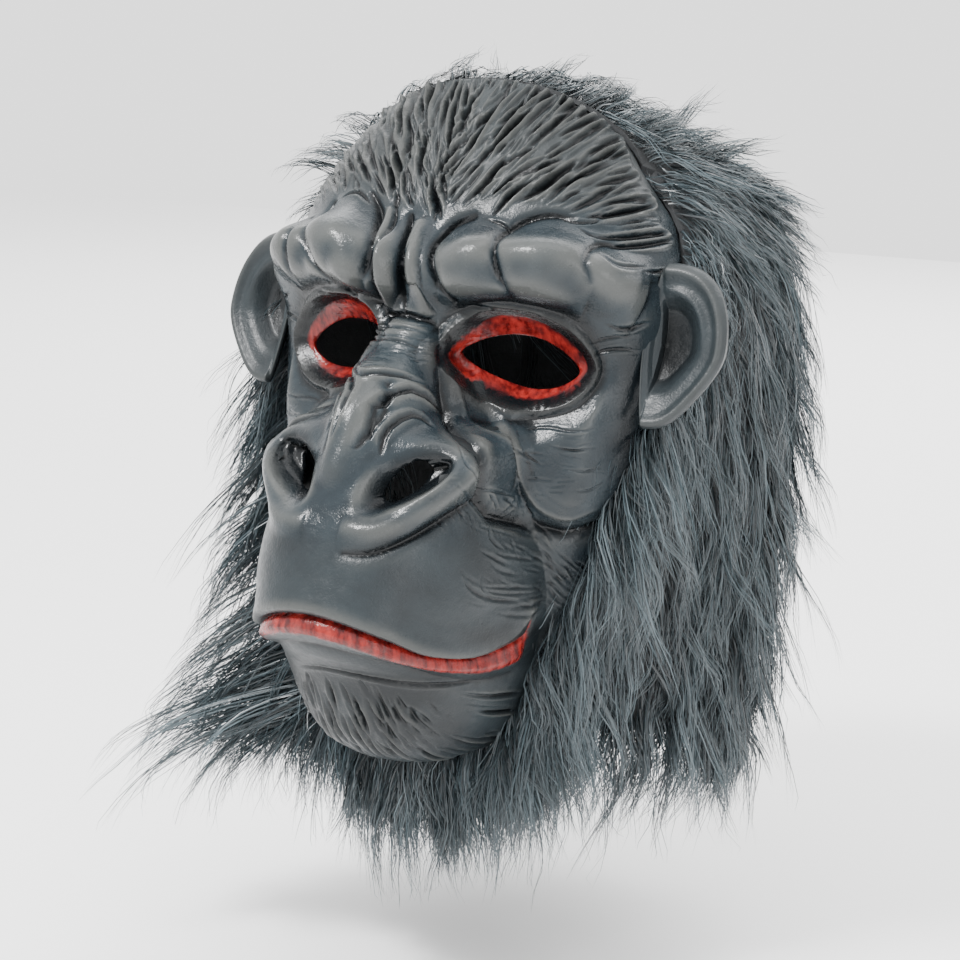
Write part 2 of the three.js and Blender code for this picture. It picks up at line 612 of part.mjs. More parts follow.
function chinFur({ half, hang, pile, locks }) {
  const line = sectionLine(0), columns = locks * 2;
  const inner = [], outer = [];
  for (const t of shares(4, 1, 0)) {
    const innerRow = [], outerRow = [];
    shares(columns, -1, 1).forEach((q, i) => {
      const p = onSection(line, Math.abs(q) * half * unit);
      p.x *= Math.sign(q) || 1;
      const tip = i % 2 ? 1 : 0.5 + 0.15 * (i % 3);
      const root = p.clone().add(new THREE.Vector3(0, 1.5 * unit, -1.2 * GAP));
      root.z -= t * hang * tip * unit;
      root.y += 6 * unit * t;
      const lift = pile * unit * (0.3 + 0.9 * Math.sin(Math.PI * clamp(t, 0.08, 0.93))) * (0.8 + 0.2 * (i % 2));
      innerRow.push(root);
      outerRow.push(root.clone().add(new THREE.Vector3(0, -lift, 0)));
    });
    inner.push(innerRow);
    outer.push(outerRow);
  }
  return wall(outer, inner);
}

// Ears: a cupped plate with a rolled rim

// The face's edge at a height, from the sections on either side of it
function edgeAt(up) {
  let i = 0;
  while (i < SECTIONS.length - 2 && SECTIONS[i + 1].edgeUp < up) i++;
  const a = SECTIONS[i], b = SECTIONS[i + 1], t = (up - a.edgeUp) / (b.edgeUp - a.edgeUp);
  return { side: mix(a.edgeSide, b.edgeSide, t), front: mix(a.edgeFront, b.edgeFront, t) };
}

function earPlate(side, rings = 5, spokes = 18) {
  const front = [], back = [];
  const seat = edgeAt(EAR.up);
  const middleSide = seat.side + EAR.clear, middleFront = seat.front + EAR.ahead;
  for (let k = 1; k <= rings; k++) {
    const r = k / rings;
    for (let i = 0; i < spokes; i++) {
      const a = (i / spokes) * 2 * Math.PI, c = Math.cos(a), s = Math.sin(a);
      const x = r * (c > 0 ? EAR.out : EAR.in) * Math.sign(c) * Math.pow(Math.abs(c), 0.8);
      const z = r * EAR.high * s * (1 - 0.12 * (s < 0 ? 1 : 0));
      const cup = along(EAR_CUP.at, EAR_CUP.rise, r) * (c > -0.2 ? 1 : 0.4);
      const f = middleFront - EAR.lean * (z / EAR.high) - 0.12 * x + cup;
      front.push(point(side * (middleSide + x), f, EAR.up + z));
      back.push(point(side * (middleSide + x), f - EAR.wall, EAR.up + z));
    }
  }
  const middle = middleFront + EAR_CUP.rise[0] + 1;
  const points = [...front, ...back, point(side * middleSide, middle, EAR.up), point(side * middleSide, middle - EAR.wall, EAR.up)];
  const n = rings * spokes, triangles = [];
  const f = (k, i) => k * spokes + (i % spokes), b = (k, i) => n + k * spokes + (i % spokes);
  const add = (p, q, r) => triangles.push(side > 0 ? [p, q, r] : [p, r, q]);
  for (let i = 0; i < spokes; i++) {
    add(2 * n, f(0, i), f(0, i + 1));
    add(2 * n + 1, b(0, i + 1), b(0, i));
    for (let k = 0; k < rings - 1; k++) {
      add(f(k, i), f(k + 1, i), f(k + 1, i + 1));
      add(f(k, i), f(k + 1, i + 1), f(k, i + 1));
      add(b(k, i), b(k + 1, i + 1), b(k + 1, i));
      add(b(k, i), b(k, i + 1), b(k + 1, i + 1));
    }
    add(f(rings - 1, i), b(rings - 1, i), b(rings - 1, i + 1));
    add(f(rings - 1, i), b(rings - 1, i + 1), f(rings - 1, i + 1));
  }
  return solid(points, triangles);
}

const face = faceWall();
let faceSolid = toManifold(wall(face.outer, face.inner));
for (const side of [1, -1]) {
  faceSolid = faceSolid.subtract(toManifold(prism(flatOutline(EYE_HOLE, side), 130, 70)));
  faceSolid = faceSolid.subtract(toManifold(prism(flatOutline(NOSTRIL, side), 190, 90)));
}

// The face grown by the clearance, which the ears are cut to seat on
const skin = gridNormals(face.outer);
const grown = wall(
  face.outer.map((row, j) => row.map((p, i) => p.clone().addScaledVector(skin[j][i], GAP))),
  face.outer.map((row, j) => row.map((p, i) => p.clone().addScaledVector(skin[j][i], -6 * unit))),
);

const pieces = [];
function piece(name, geometry, look) {
  const mesh = new THREE.Mesh(geometry, new THREE.MeshStandardMaterial(look));
  mesh.name = name;
  geometry.computeVertexNormals();
  pieces.push(mesh);
}

const LATEX_LOOK = { color: 0x3a3c3e, roughness: 0.55, metalness: 0 };
const FABRIC_LOOK = { color: 0x15181a, roughness: 0.95, metalness: 0 };
const FUR_LOOK = { color: 0x1a2427, roughness: 0.8, metalness: 0 };

piece('latex_face', toGeometry(faceSolid), LATEX_LOOK);
piece('ear_left', toGeometry(toManifold(earPlate(1)).subtract(toManifold(grown))), LATEX_LOOK);
piece('ear_right', toGeometry(toManifold(earPlate(-1)).subtract(toManifold(grown))), LATEX_LOOK);
piece('hood_backing', hoodWall(), FABRIC_LOOK);
for (const panel of PANELS) piece(panel.name, furPanel(panel), FUR_LOOK);
piece('fur_chin', chinFur(CHIN_FUR), FUR_LOOK);

const mask = new THREE.Group();
mask.add(...pieces);
export default mask;
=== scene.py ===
"""Visual model of the gorilla mask: sculpted latex, fabric hood and long fur."""
import math
import bpy
import numpy as np
from mathutils import Matrix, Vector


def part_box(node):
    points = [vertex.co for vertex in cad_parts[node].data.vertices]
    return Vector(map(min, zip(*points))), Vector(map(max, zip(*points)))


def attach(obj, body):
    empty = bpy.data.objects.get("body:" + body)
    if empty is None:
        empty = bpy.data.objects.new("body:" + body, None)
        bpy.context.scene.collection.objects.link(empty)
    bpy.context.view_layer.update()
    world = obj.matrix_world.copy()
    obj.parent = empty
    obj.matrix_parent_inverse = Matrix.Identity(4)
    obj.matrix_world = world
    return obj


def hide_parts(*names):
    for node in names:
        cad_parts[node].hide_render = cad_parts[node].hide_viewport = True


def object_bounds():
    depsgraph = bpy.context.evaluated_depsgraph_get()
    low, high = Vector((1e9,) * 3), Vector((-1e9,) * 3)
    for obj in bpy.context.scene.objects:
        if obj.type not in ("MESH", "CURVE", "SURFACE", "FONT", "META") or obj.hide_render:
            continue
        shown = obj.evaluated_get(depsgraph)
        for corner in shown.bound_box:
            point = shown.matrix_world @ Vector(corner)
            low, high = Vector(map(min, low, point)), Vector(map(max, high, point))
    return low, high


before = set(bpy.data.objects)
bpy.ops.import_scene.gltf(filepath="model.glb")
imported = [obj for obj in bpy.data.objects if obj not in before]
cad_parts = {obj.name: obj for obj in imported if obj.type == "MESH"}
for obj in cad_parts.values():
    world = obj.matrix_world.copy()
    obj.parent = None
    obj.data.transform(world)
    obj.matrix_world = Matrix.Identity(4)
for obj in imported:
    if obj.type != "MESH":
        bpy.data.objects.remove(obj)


def plain(bounds):
    return [list(map(float, v)) for v in bounds]


bounds_loaded = plain(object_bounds())
rng = np.random.default_rng(20260)

# Driving sizes: metres to one drawn millimetre, from the face's width in the frame
face_lo, face_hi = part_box("latex_face")
MM = (face_hi[0] - face_lo[0]) / 158.0
LATEX = 2.2
FABRIC = 1.6
GAP = 0.45

# Sections of the face, chin to forehead, in drawn millimetres
SECTIONS = np.array([
    # midFront midUp edgeSide edgeFront edgeUp round cheek muzzle muzzleRound
    [102, -226, 34, 88, -214, 2.0, 10, 32, 2.2],
    [124, -224, 40, 86, -208, 2.1, 28, 36, 2.2],
    [142, -213, 44, 82, -200, 2.2, 44, 39, 2.3],
    [152, -199, 48, 80, -190, 2.3, 54, 42, 2.4],
    [160, -184, 51, 78, -179, 2.3, 58, 44, 2.5],
    [173, -171, 55, 76, -167, 2.3, 66, 48, 2.5],
    [176, -160, 59, 75, -156, 2.3, 67, 49, 2.5],
    [173, -141, 64, 74, -140, 2.3, 60, 48, 2.5],
    [163, -122, 69, 73, -124, 2.3, 51, 42, 2.7],
    [145, -104, 73, 72, -106, 2.3, 34, 37, 2.7],
    [125, -84, 77, 70, -86, 2.3, 14, 26, 2.2],
    [116, -66, 79, 66, -66, 2.3, 4, 22, 2.0],
    [113, -50, 78, 60, -46, 2.25, 0, 16, 2.0],
    [104, -29, 74, 56, -32, 2.2, 0, 16, 2.0],
    [88, -2, 67, 54, -22, 2.1, 0, 16, 2.0],
    [68, 20, 57, 51, -14, 2.0, 0, 16, 2.0],
])

# Hoops of the hood, hem to forehead
HOOPS = np.array([
    # edge backFront backUp round bulge over pile puff
    [0.00, -70, -238, 2.2, 62, 5, 13, 78],
    [0.14, -77, -212, 2.3, 55, 12, 14, 68],
    [0.28, -88, -170, 2.5, 46, 16, 13, 52],
    [0.45, -96, -122, 2.7, 28, 8, 11, 33],
    [0.60, -97, -84, 2.8, 18, -2, 10, 20],
    [0.70, -88, -46, 2.8, 12, -3, 11, 16],
    [0.78, -68, -19, 2.6, 9, -3, 14, 16],
    [0.86, -34, -3, 2.3, 6, -3, 19, 17],
    [0.92, 0, 0, 2.1, 3, -3, 24, 17],
    [0.97, 34, 9, 2.0, 1, -5, 20, 15],
    [1.00, 66, 19, 2.0, 0, -6, 9, 9],
])

# Ear: how far its middle stands outside and before the face's edge, half sizes, wall and lean
EAR = dict(clear=1.2, ahead=13.2, up=-70, out=24.5, inner=5, high=29, wall=2.4, lean=8)
EAR["side"] = np.interp(EAR["up"], SECTIONS[:, 4], SECTIONS[:, 2]) + EAR["clear"]
EAR["front"] = np.interp(EAR["up"], SECTIONS[:, 4], SECTIONS[:, 3]) + EAR["ahead"]
EAR_AT = [0, 0.2, 0.42, 0.58, 0.66, 0.8, 0.9, 0.95, 1]
EAR_RISE = [-7.5, -7, -5.5, -0.8, 0.3, 1.2, 3.0, 2.8, 0.4]

# Small tools


def smooth(x):
    x = np.clip(x, 0, 1)
    return x * x * (3 - 2 * x)


def unit(v):
    return v / (np.linalg.norm(v, axis=-1, keepdims=True) + 1e-9)


def through(places, rows, t):
    """Rows at the places t on a smooth curve through the table."""
    t = np.atleast_1d(t)
    slope = np.gradient(rows, places, axis=0)
    for k in (0, -1):
        a, b = (0, 1) if k == 0 else (-2, -1)
        slope[k] = (rows[b] - rows[a]) / (places[b] - places[a])
    i = np.clip(np.searchsorted(places, t, side="right") - 1, 0, len(places) - 2)
    h = places[i + 1] - places[i]
    s = (t - places[i]) / h
    s2, s3 = s * s, s * s * s
    return ((2 * s3 - 3 * s2 + 1)[:, None] * rows[i] + ((s3 - 2 * s2 + s) * h)[:, None] * slope[i]
            + (3 * s2 - 2 * s3)[:, None] * rows[i + 1] + ((s3 - s2) * h)[:, None] * slope[i + 1])


def curve(points, n=24):
    p = np.array(points, float)
    if len(p) == 2:
        t = np.linspace(0, 1, n)[:, None]
        return p[0] * (1 - t) + p[1] * t
    d = np.concatenate([[0], np.cumsum(np.linalg.norm(np.diff(p, axis=0), axis=1))])
    return through(d / d[-1], p, np.linspace(0, 1, n))


def loop(points, n=64):
    p = np.array(points, float)
    q = np.concatenate([p[-2:], p, p[:2]])
    c = curve(q, n * 2)
    d = np.concatenate([[0], np.cumsum(np.linalg.norm(np.diff(q, axis=0), axis=1))])
    d /= d[-1]
    t = np.linspace(0, 1, n * 2)
    return c[(t >= d[2]) & (t < d[-2])]


def path_distance(P, C):
    """Distance of points to a polyline, and how far along it they are."""
    best, at = np.full(len(P), 1e9), np.zeros(len(P))
    length = np.concatenate([[0], np.cumsum(np.linalg.norm(np.diff(C, axis=0), axis=1))])
    for a, b, l0, l1 in zip(C[:-1], C[1:], length[:-1], length[1:]):
        ab = b - a
        q = ab @ ab
        if q < 1e-12:
            continue
        t = np.clip((P - a) @ ab / q, 0, 1)
        d = np.linalg.norm(P - a - t[:, None] * ab, axis=1)
        k = d < best
        best[k] = d[k]
        at[k] = (l0 + t * (l1 - l0))[k] / length[-1]
    return best, at


def inside(x, z, outline):
    r = np.zeros(x.shape, bool)
    for (x1, z1), (x2, z2) in zip(outline, np.roll(outline, -1, 0)):
        if z1 != z2:
            r ^= ((z1 > z) != (z2 > z)) & (x < (x2 - x1) * (z - z1) / (z2 - z1) + x1)
    return r


def mirrored(points):
    return [(-x, z) for x, z in points]


def oval(cx, cz, a, b, turn, n=14):
    t = math.radians(turn)
    k = np.arange(n) * 2 * np.pi / n
    return [(cx + a * math.cos(q) * math.cos(t) - b * math.sin(q) * math.sin(t),
             cz + a * math.cos(q) * math.sin(t) + b * math.sin(q) * math.cos(t)) for q in k]


def grid_normals(G):
    return unit(np.cross(np.gradient(G, axis=1), np.gradient(G, axis=0)))


# The base of the face


def soft_min(a, b, k):
    h = np.clip(k - np.abs(a - b), 0, None) / k
    return np.minimum(a, b) - h * h * k * 0.25


def rounded(x, n):
    return 1 - (1 - np.clip(x, 0, 1) ** n) ** (1 / n)


def section(row, samples=400, k=14):
    midF, midZ, edgeX, edgeF, edgeZ, n, cheek, muzzle, m = row
    B = math.hypot(midF - edgeF, midZ - edgeZ)
    s = np.sin(np.linspace(0, 1, samples) * np.pi / 2)
    x = np.unique(np.concatenate([edgeX * s, muzzle * s * 0.9999]))
    t = cheek + (B - cheek) * rounded(x / edgeX, n)
    if cheek > 0.5:
        t = soft_min(t, np.where(x < muzzle, B * rounded(x / muzzle, m), 1e3), k * min(1, cheek / 14 + 0.05))
        t = t - t[0] * np.clip(1 - x / muzzle, 0, 1)
    f = np.minimum(t, B) / B
    return x, midF + (edgeF - midF) * f, midZ + (edgeZ - midZ) * f


mid_steps = np.hypot(np.diff(SECTIONS[:, 0]), np.diff(SECTIONS[:, 1]))
SECTION_AT = np.concatenate([[0], np.cumsum(mid_steps)]) / mid_steps.sum()


def base_grid(nu, nv):
    G = np.zeros((nv, nu, 3))
    half = (nu - 1) // 2
    for j, row in enumerate(through(SECTION_AT, SECTIONS, np.linspace(0, 1, nv))):
        x, F, z = section(row)
        length = np.concatenate([[0], np.cumsum(np.sqrt(np.diff(x) ** 2 + np.diff(F) ** 2 + np.diff(z) ** 2))])
        q = np.linspace(0, length[-1], half + 1)
        X, Y, Z = np.interp(q, length, x), -np.interp(q, length, F), np.interp(q, length, z)
        G[j, half:] = np.stack([X, Y, Z], -1)
        G[j, :half + 1] = np.stack([-X[::-1], Y[::-1], Z[::-1]], -1)
    return G


class FrontMap:
    """Front of the base face over side and up, on a 1 mm grid."""

    def __init__(self, G):
        x, F, z = G[..., 0].ravel(), -G[..., 1].ravel(), G[..., 2].ravel()
        M = np.full((201, 281), -1e3)
        i = np.clip(np.round(x + 100).astype(int), 0, 200)
        j = np.clip(np.round(z + 240).astype(int), 0, 280)
        np.maximum.at(M, (i, j), F)
        for _ in range(60):
            bad = M < -900
            if not bad.any():
                break
            A = np.stack([np.roll(M, 1, 0), np.roll(M, -1, 0), np.roll(M, 1, 1), np.roll(M, -1, 1)])
            c = (A > -900).sum(0)
            M = np.where(bad & (c > 0), np.where(A > -900, A, 0).sum(0) / np.maximum(c, 1), M)
        self.M = M

    def __call__(self, x, z):
        x = np.clip(np.asarray(x, float) + 100, 0, 199.99)
        z = np.clip(np.asarray(z, float) + 240, 0, 279.99)
        i, j = x.astype(int), z.astype(int)
        a, b, M = x - i, z - j, self.M
        return (M[i, j] * (1 - a) * (1 - b) + M[i + 1, j] * a * (1 - b)
                + M[i, j + 1] * (1 - a) * b + M[i + 1, j + 1] * a * b)


class Sculpt:
    """Displaces a grid of the face with strokes, lumps and nested outlines."""

    def __init__(self, G):
        self.shape = G.shape[:2]
        self.P0 = G.reshape(-1, 3).copy()
        self.G = self.P0.copy()
        self.N = grid_normals(G).reshape(-1, 3)
        self.map = FrontMap(G)
        self.red = np.zeros(len(self.G))
        # dark: black glaze and painted shade, from 0 to 1
        self.dark = np.zeros(len(self.G))
        self.front = np.where(self.N[:, 1] < 0.35)[0]
        order = np.argsort(self.P0[self.front, 2], kind="stable")
        self.front = self.front[order]
        self.front_z = self.P0[self.front, 2]

    def near(self, points, r):
        lo, hi = points.min(0) - r, points.max(0) + r
        a, b = np.searchsorted(self.front_z, [lo[1], hi[1]])
        idx = self.front[a:b]
        x = self.P0[idx, 0]
        return idx[(x > lo[0]) & (x < hi[0])]

    def add(self, idx, h, direction=None):
        self.G[idx] += h[:, None] * (self.N[idx] if direction is None else direction)

    def stroke(self, points, w, h, kind="soft", taper=0.6, direction=None, n=20):
        C2 = curve(points, n)
        C = np.stack([C2[:, 0], -self.map(C2[:, 0], C2[:, 1]), C2[:, 1]], -1)
        idx = self.near(C2, 3 * w + 2)
        if not len(idx):
            return
        d, t = path_distance(self.P0[idx], C)
        e = np.clip(np.sin(np.pi * np.clip(t, 0.001, 0.999)), 0, 1) ** taper
        p = np.exp(-(d / w) ** 2) if kind == "soft" else np.exp(-np.abs(d / w) ** 1.2)
        self.add(idx, h * p * e, direction)

    def shade(self, points, w, amount=1.0, n=20):
        """Black glaze and painted shade along a path."""
        C2 = curve(points, n)
        C = np.stack([C2[:, 0], -self.map(C2[:, 0], C2[:, 1]), C2[:, 1]], -1)
        idx = self.near(C2, 2.5 * w)
        d, t = path_distance(self.P0[idx], C)
        e = np.clip(np.sin(np.pi * np.clip(t, 0.001, 0.999)), 0, 1) ** 0.3
        self.dark[idx] = np.maximum(self.dark[idx], amount * e * np.exp(-(d / w) ** 2))

    def groove(self, points, w, depth, lip=0.35, n=9):
        """A leaf-shaped cut with a raised lip."""
        C2 = curve(points, n)
        C = np.stack([C2[:, 0], -self.map(C2[:, 0], C2[:, 1]), C2[:, 1]], -1)
        idx = self.near(C2, 3 * w + 1)
        if not len(idx):
            return
        d, t = path_distance(self.P0[idx], C)
        e = np.sin(np.pi * np.clip(t, 0.001, 0.999)) ** 0.7
        ww = w * (0.35 + 0.65 * e)
        p = -np.exp(-(d / ww) ** 2) + lip * np.exp(-((d - 1.7 * ww) / (0.8 * ww)) ** 2)
        self.add(idx, depth * p * e)

    def lump(self, cx, cz, rx, rz, turn, h, direction=None):
        idx = self.near(np.array([[cx, cz]]), max(rx, rz) * 1.3)
        c, s = math.cos(math.radians(turn)), math.sin(math.radians(turn))
        X, Z = self.P0[idx, 0] - cx, self.P0[idx, 2] - cz
        r = np.hypot((X * c + Z * s) / rx, (-X * s + Z * c) / rz)
        self.add(idx, h * smooth(1.15 - r), direction)

    def region(self, points, h, w):
        L = loop(points)
        idx = self.near(L, 3)
        f = self.P0[idx][:, [0, 2]]
        d, _ = path_distance(f, np.concatenate([L, L[:1]]))
        self.add(idx, h * np.where(inside(f[:, 0], f[:, 1], L), smooth(d / w), 0))

    def levels(self, outlines):
        """Place between nested outlines: 0 at the first, 1 at the second and so on."""
        Ls = [loop(l) for l in outlines]
        idx = self.near(Ls[-1], 4)
        f = self.P0[idx][:, [0, 2]]
        sd = []
        for L in Ls:
            d, _ = path_distance(f, np.concatenate([L, L[:1]]))
            sd.append(np.where(inside(f[:, 0], f[:, 1], L), -d, d))
        q = np.where(sd[0] < 0, -smooth(-sd[0] / 3), 0.0)
        for k in range(len(Ls) - 1):
            m = (sd[k] >= 0) & (sd[k + 1] < 0)
            q = np.where(m, k + sd[k] / (sd[k] - sd[k + 1] + 1e-9), q)
        return idx, np.where(sd[-1] >= 0, len(Ls) - 1 + np.clip(sd[-1] / 4, 0, 1), q)


# Outlines on the left half, side and up
HOLE = [(15.5, -76), (21, -71.5), (30, -69), (40, -69.5), (50, -74),
        (56, -80.5), (50, -85.5), (41, -87.5), (31, -86), (22, -81.5)]
RED = [(14.6, -76), (18.5, -69.5), (29, -62.5), (42, -62.3), (54, -67.5),
       (62.5, -79.5), (56, -87), (42, -91.3), (30, -88.6), (20.3, -82.6)]
RING = [(6, -76), (11, -65.5), (26, -57), (44, -57), (60, -64),
        (67, -78.5), (60, -92), (43, -97.5), (27, -96), (12, -88)]
BAG = [(8, -72), (12, -86), (22, -96), (31, -105), (36, -117), (40, -127), (47, -133), (56, -136),
       (64, -132), (68.5, -120), (70, -100), (69, -82), (55, -92), (40, -98), (24, -94), (12, -84)]
GROOVE = [(10, -66), (12, -78), (15, -87), (23, -96), (31, -104), (36, -115),
          (40, -127), (47, -134), (57, -138), (66, -134), (71, -122)]
BAG_RIM = [(16, -84), (26, -95), (38, -106), (42, -118), (49, -129), (57, -132), (65, -128)]
BAG_CREASE = [(20, -84), (30, -94), (42, -105), (46, -116), (52, -125), (58, -128), (64, -124)]
NOSTRIL = oval(20.5, -116, 8.5, 4.2, 52)
CREST = oval(19.5, -114, 15, 9, 60)
LIP = [(-48, -166), (-44, -175), (-40, -178), (-34, -175), (-26, -168.5), (-14, -163), (0, -161),
       (14, -163), (26, -168.5), (35, -176), (40, -178.5), (44, -176), (48, -166)]

# Folds and wrinkles: width, rise, kind, taper, points
FOLDS = [
    (1.5, -4.5, "sharp", 0.4, [(17, -58), (10, -50), (6, -40), (9, -32), (18, -27)]),
    (1.4, -3.2, "sharp", 0.5, [(38, -55), (32, -46), (30, -37), (34, -29.5), (42, -26), (52, -27)]),
    (1.2, -2.2, "sharp", 0.5, [(60, -50), (57, -42), (60, -36), (68, -36)]),
    (3.2, 4.8, "soft", 0.4, [(-17, -26), (-13, -40), (-10, -54), (-12, -62)]),
    (3.4, 5.0, "soft", 0.4, [(-3, -30), (0, -44), (4, -57), (7, -64)]),
    (1.3, -4.5, "sharp", 0.4, [(-9, -28), (-5, -44), (-4, -58), (-2, -65)]),
    (1.4, -4.5, "sharp", 0.4, [(-18, -22), (-13, -36), (-15, -50), (-16, -62)]),
    (1.3, -3.5, "sharp", 0.4, [(-14, -65), (-2, -64), (9, -66)]),
    (1.6, -3.5, "sharp", 0.4, [(-30, -22), (-22, -30), (-17, -42), (-20, -56)]),
    (1.5, -4.0, "sharp", 0.4, [(-48, -26), (-49, -38), (-40, -50), (-26, -60)]),
    (1.2, -2.5, "sharp", 0.5, [(-56, -34), (-54, -46), (-57, -58)]),
    (1.3, -3.0, "sharp", 0.4, [(5, -90), (8, -97), (5, -106)]),
    (1.3, -3.0, "sharp", 0.4, [(-11, -90), (-10, -99), (-8, -108)]),
    (1.6, -3.2, "sharp", 0.4, [(9, -139), (20, -138), (30, -132), (38, -121)]),
]

# Finer wrinkles: width, depth, points
WRINKLES = [
    (0.8, 1.0, [(-19, -68), (-12, -70), (-4, -69), (8, -70)]),
    (0.8, 1.0, [(-24, -78), (-12, -75), (-4, -74), (9, -77)]),
    (0.7, 0.8, [(-22, -73), (-8, -72.5), (6, -73)]),
    (1.0, 1.7, [(-10, -87), (-3, -90), (3, -89), (13, -89)]),
    (1.1, 2.0, [(8, -104), (6, -96), (10, -92), (18, -93), (25, -97)]),
    (1.1, 2.0, [(-17, -87), (-9, -90), (-4, -92), (-4, -104)]),
    (1.0, 1.6, [(12, -108), (11, -101), (15, -97), (22, -99)]),
    (1.1, 1.8, [(-24, -93), (-17, -92), (-12, -95), (-12, -104)]),
    (0.8, 1.1, [(63, -75), (67, -72), (71, -71), (76, -72)]),
    (0.9, 1.2, [(66, -62), (71, -64), (77, -61)]),
    (0.7, 0.9, [(62, -70), (68, -67), (75, -66)]),
    (0.8, 1.0, [(-63, -75), (-67, -72), (-71, -71), (-76, -72)]),
    (0.8, 1.0, [(-66, -62), (-71, -64), (-77, -61)]),
    (0.8, 1.0, [(-13, -65), (-1, -63), (8, -65)]),
    (0.7, 1.1, [(22, -29), (30, -31.5), (33, -34)]),
    (0.7, 0.9, [(52, -30), (58, -33), (66, -32)]),
    (0.8, 1.1, [(60, -40), (65, -44), (73, -43)]),
    (0.7, 0.9, [(44, -25), (50, -28), (60, -27)]),
    (0.8, 1.2, [(-27, -27), (-36, -23), (-44, -26)]),
    (0.8, 1.2, [(-60, -34), (-66, -41), (-67, -52)]),
    (0.7, 0.9, [(-25, -58), (-36, -60), (-50, -59)]),
    (0.7, 0.9, [(18, -58.5), (34, -59.5), (50, -60.5)]),
    (0.9, 1.4, [(-17, -186), (-3, -183), (10, -183.5), (28, -187), (38, -189)]),
]
# Black glaze and painted shade: width, amount, points. Under the brow, beside the temples, at the mouth corners and
# below the lip it is painted shade; in the grooves and creases it is black glaze deepened as painted shade.
GLAZE_AND_SHADE = [
    (4.5, 0.75, [(2, -60), (20, -59), (40, -61), (58, -65), (76, -74)]),
    (3.2, 0.95, GROOVE),
    (2.4, 0.25, BAG_RIM),
    (7.0, 0.85, [(73, -62), (74, -80), (72, -100), (71, -118), (64, -138)]),
    (5.0, 0.5, [(36, -122), (42, -140), (47, -158)]),
    (4.0, 0.8, [(40, -168), (45, -172), (48, -180), (46, -190)]),
    (3.0, 0.6, [(9, -139), (20, -138), (30, -132), (38, -121)]),
    (12.0, 0.8, [(-2, -186), (14, -188), (34, -192)]),
    (14.0, 0.7, [(-2, -205), (16, -206), (34, -206)]),
    (12.0, 0.35, [(52, -120), (60, -128)]),
]
BAG_CRACKS = [
    (0.5, 0.8, [(42, -101), (50, -99.5), (58, -100), (66, -98)]),
    (0.5, 0.8, [(33, -98), (36, -104), (43, -109), (50, -113)]),
    (0.5, 0.7, [(50, -105), (58, -106.5), (65, -105)]),
    (0.5, 0.7, [(55, -113), (61, -114), (67, -112)]),
    (0.5, 0.7, [(57, -121), (62, -121), (67, -118)]),
    (0.6, 0.7, [(25, -98), (30, -107), (39, -121), (48, -129)]),
    (0.5, 0.6, [(38, -100), (42, -107), (48, -112)]),
]


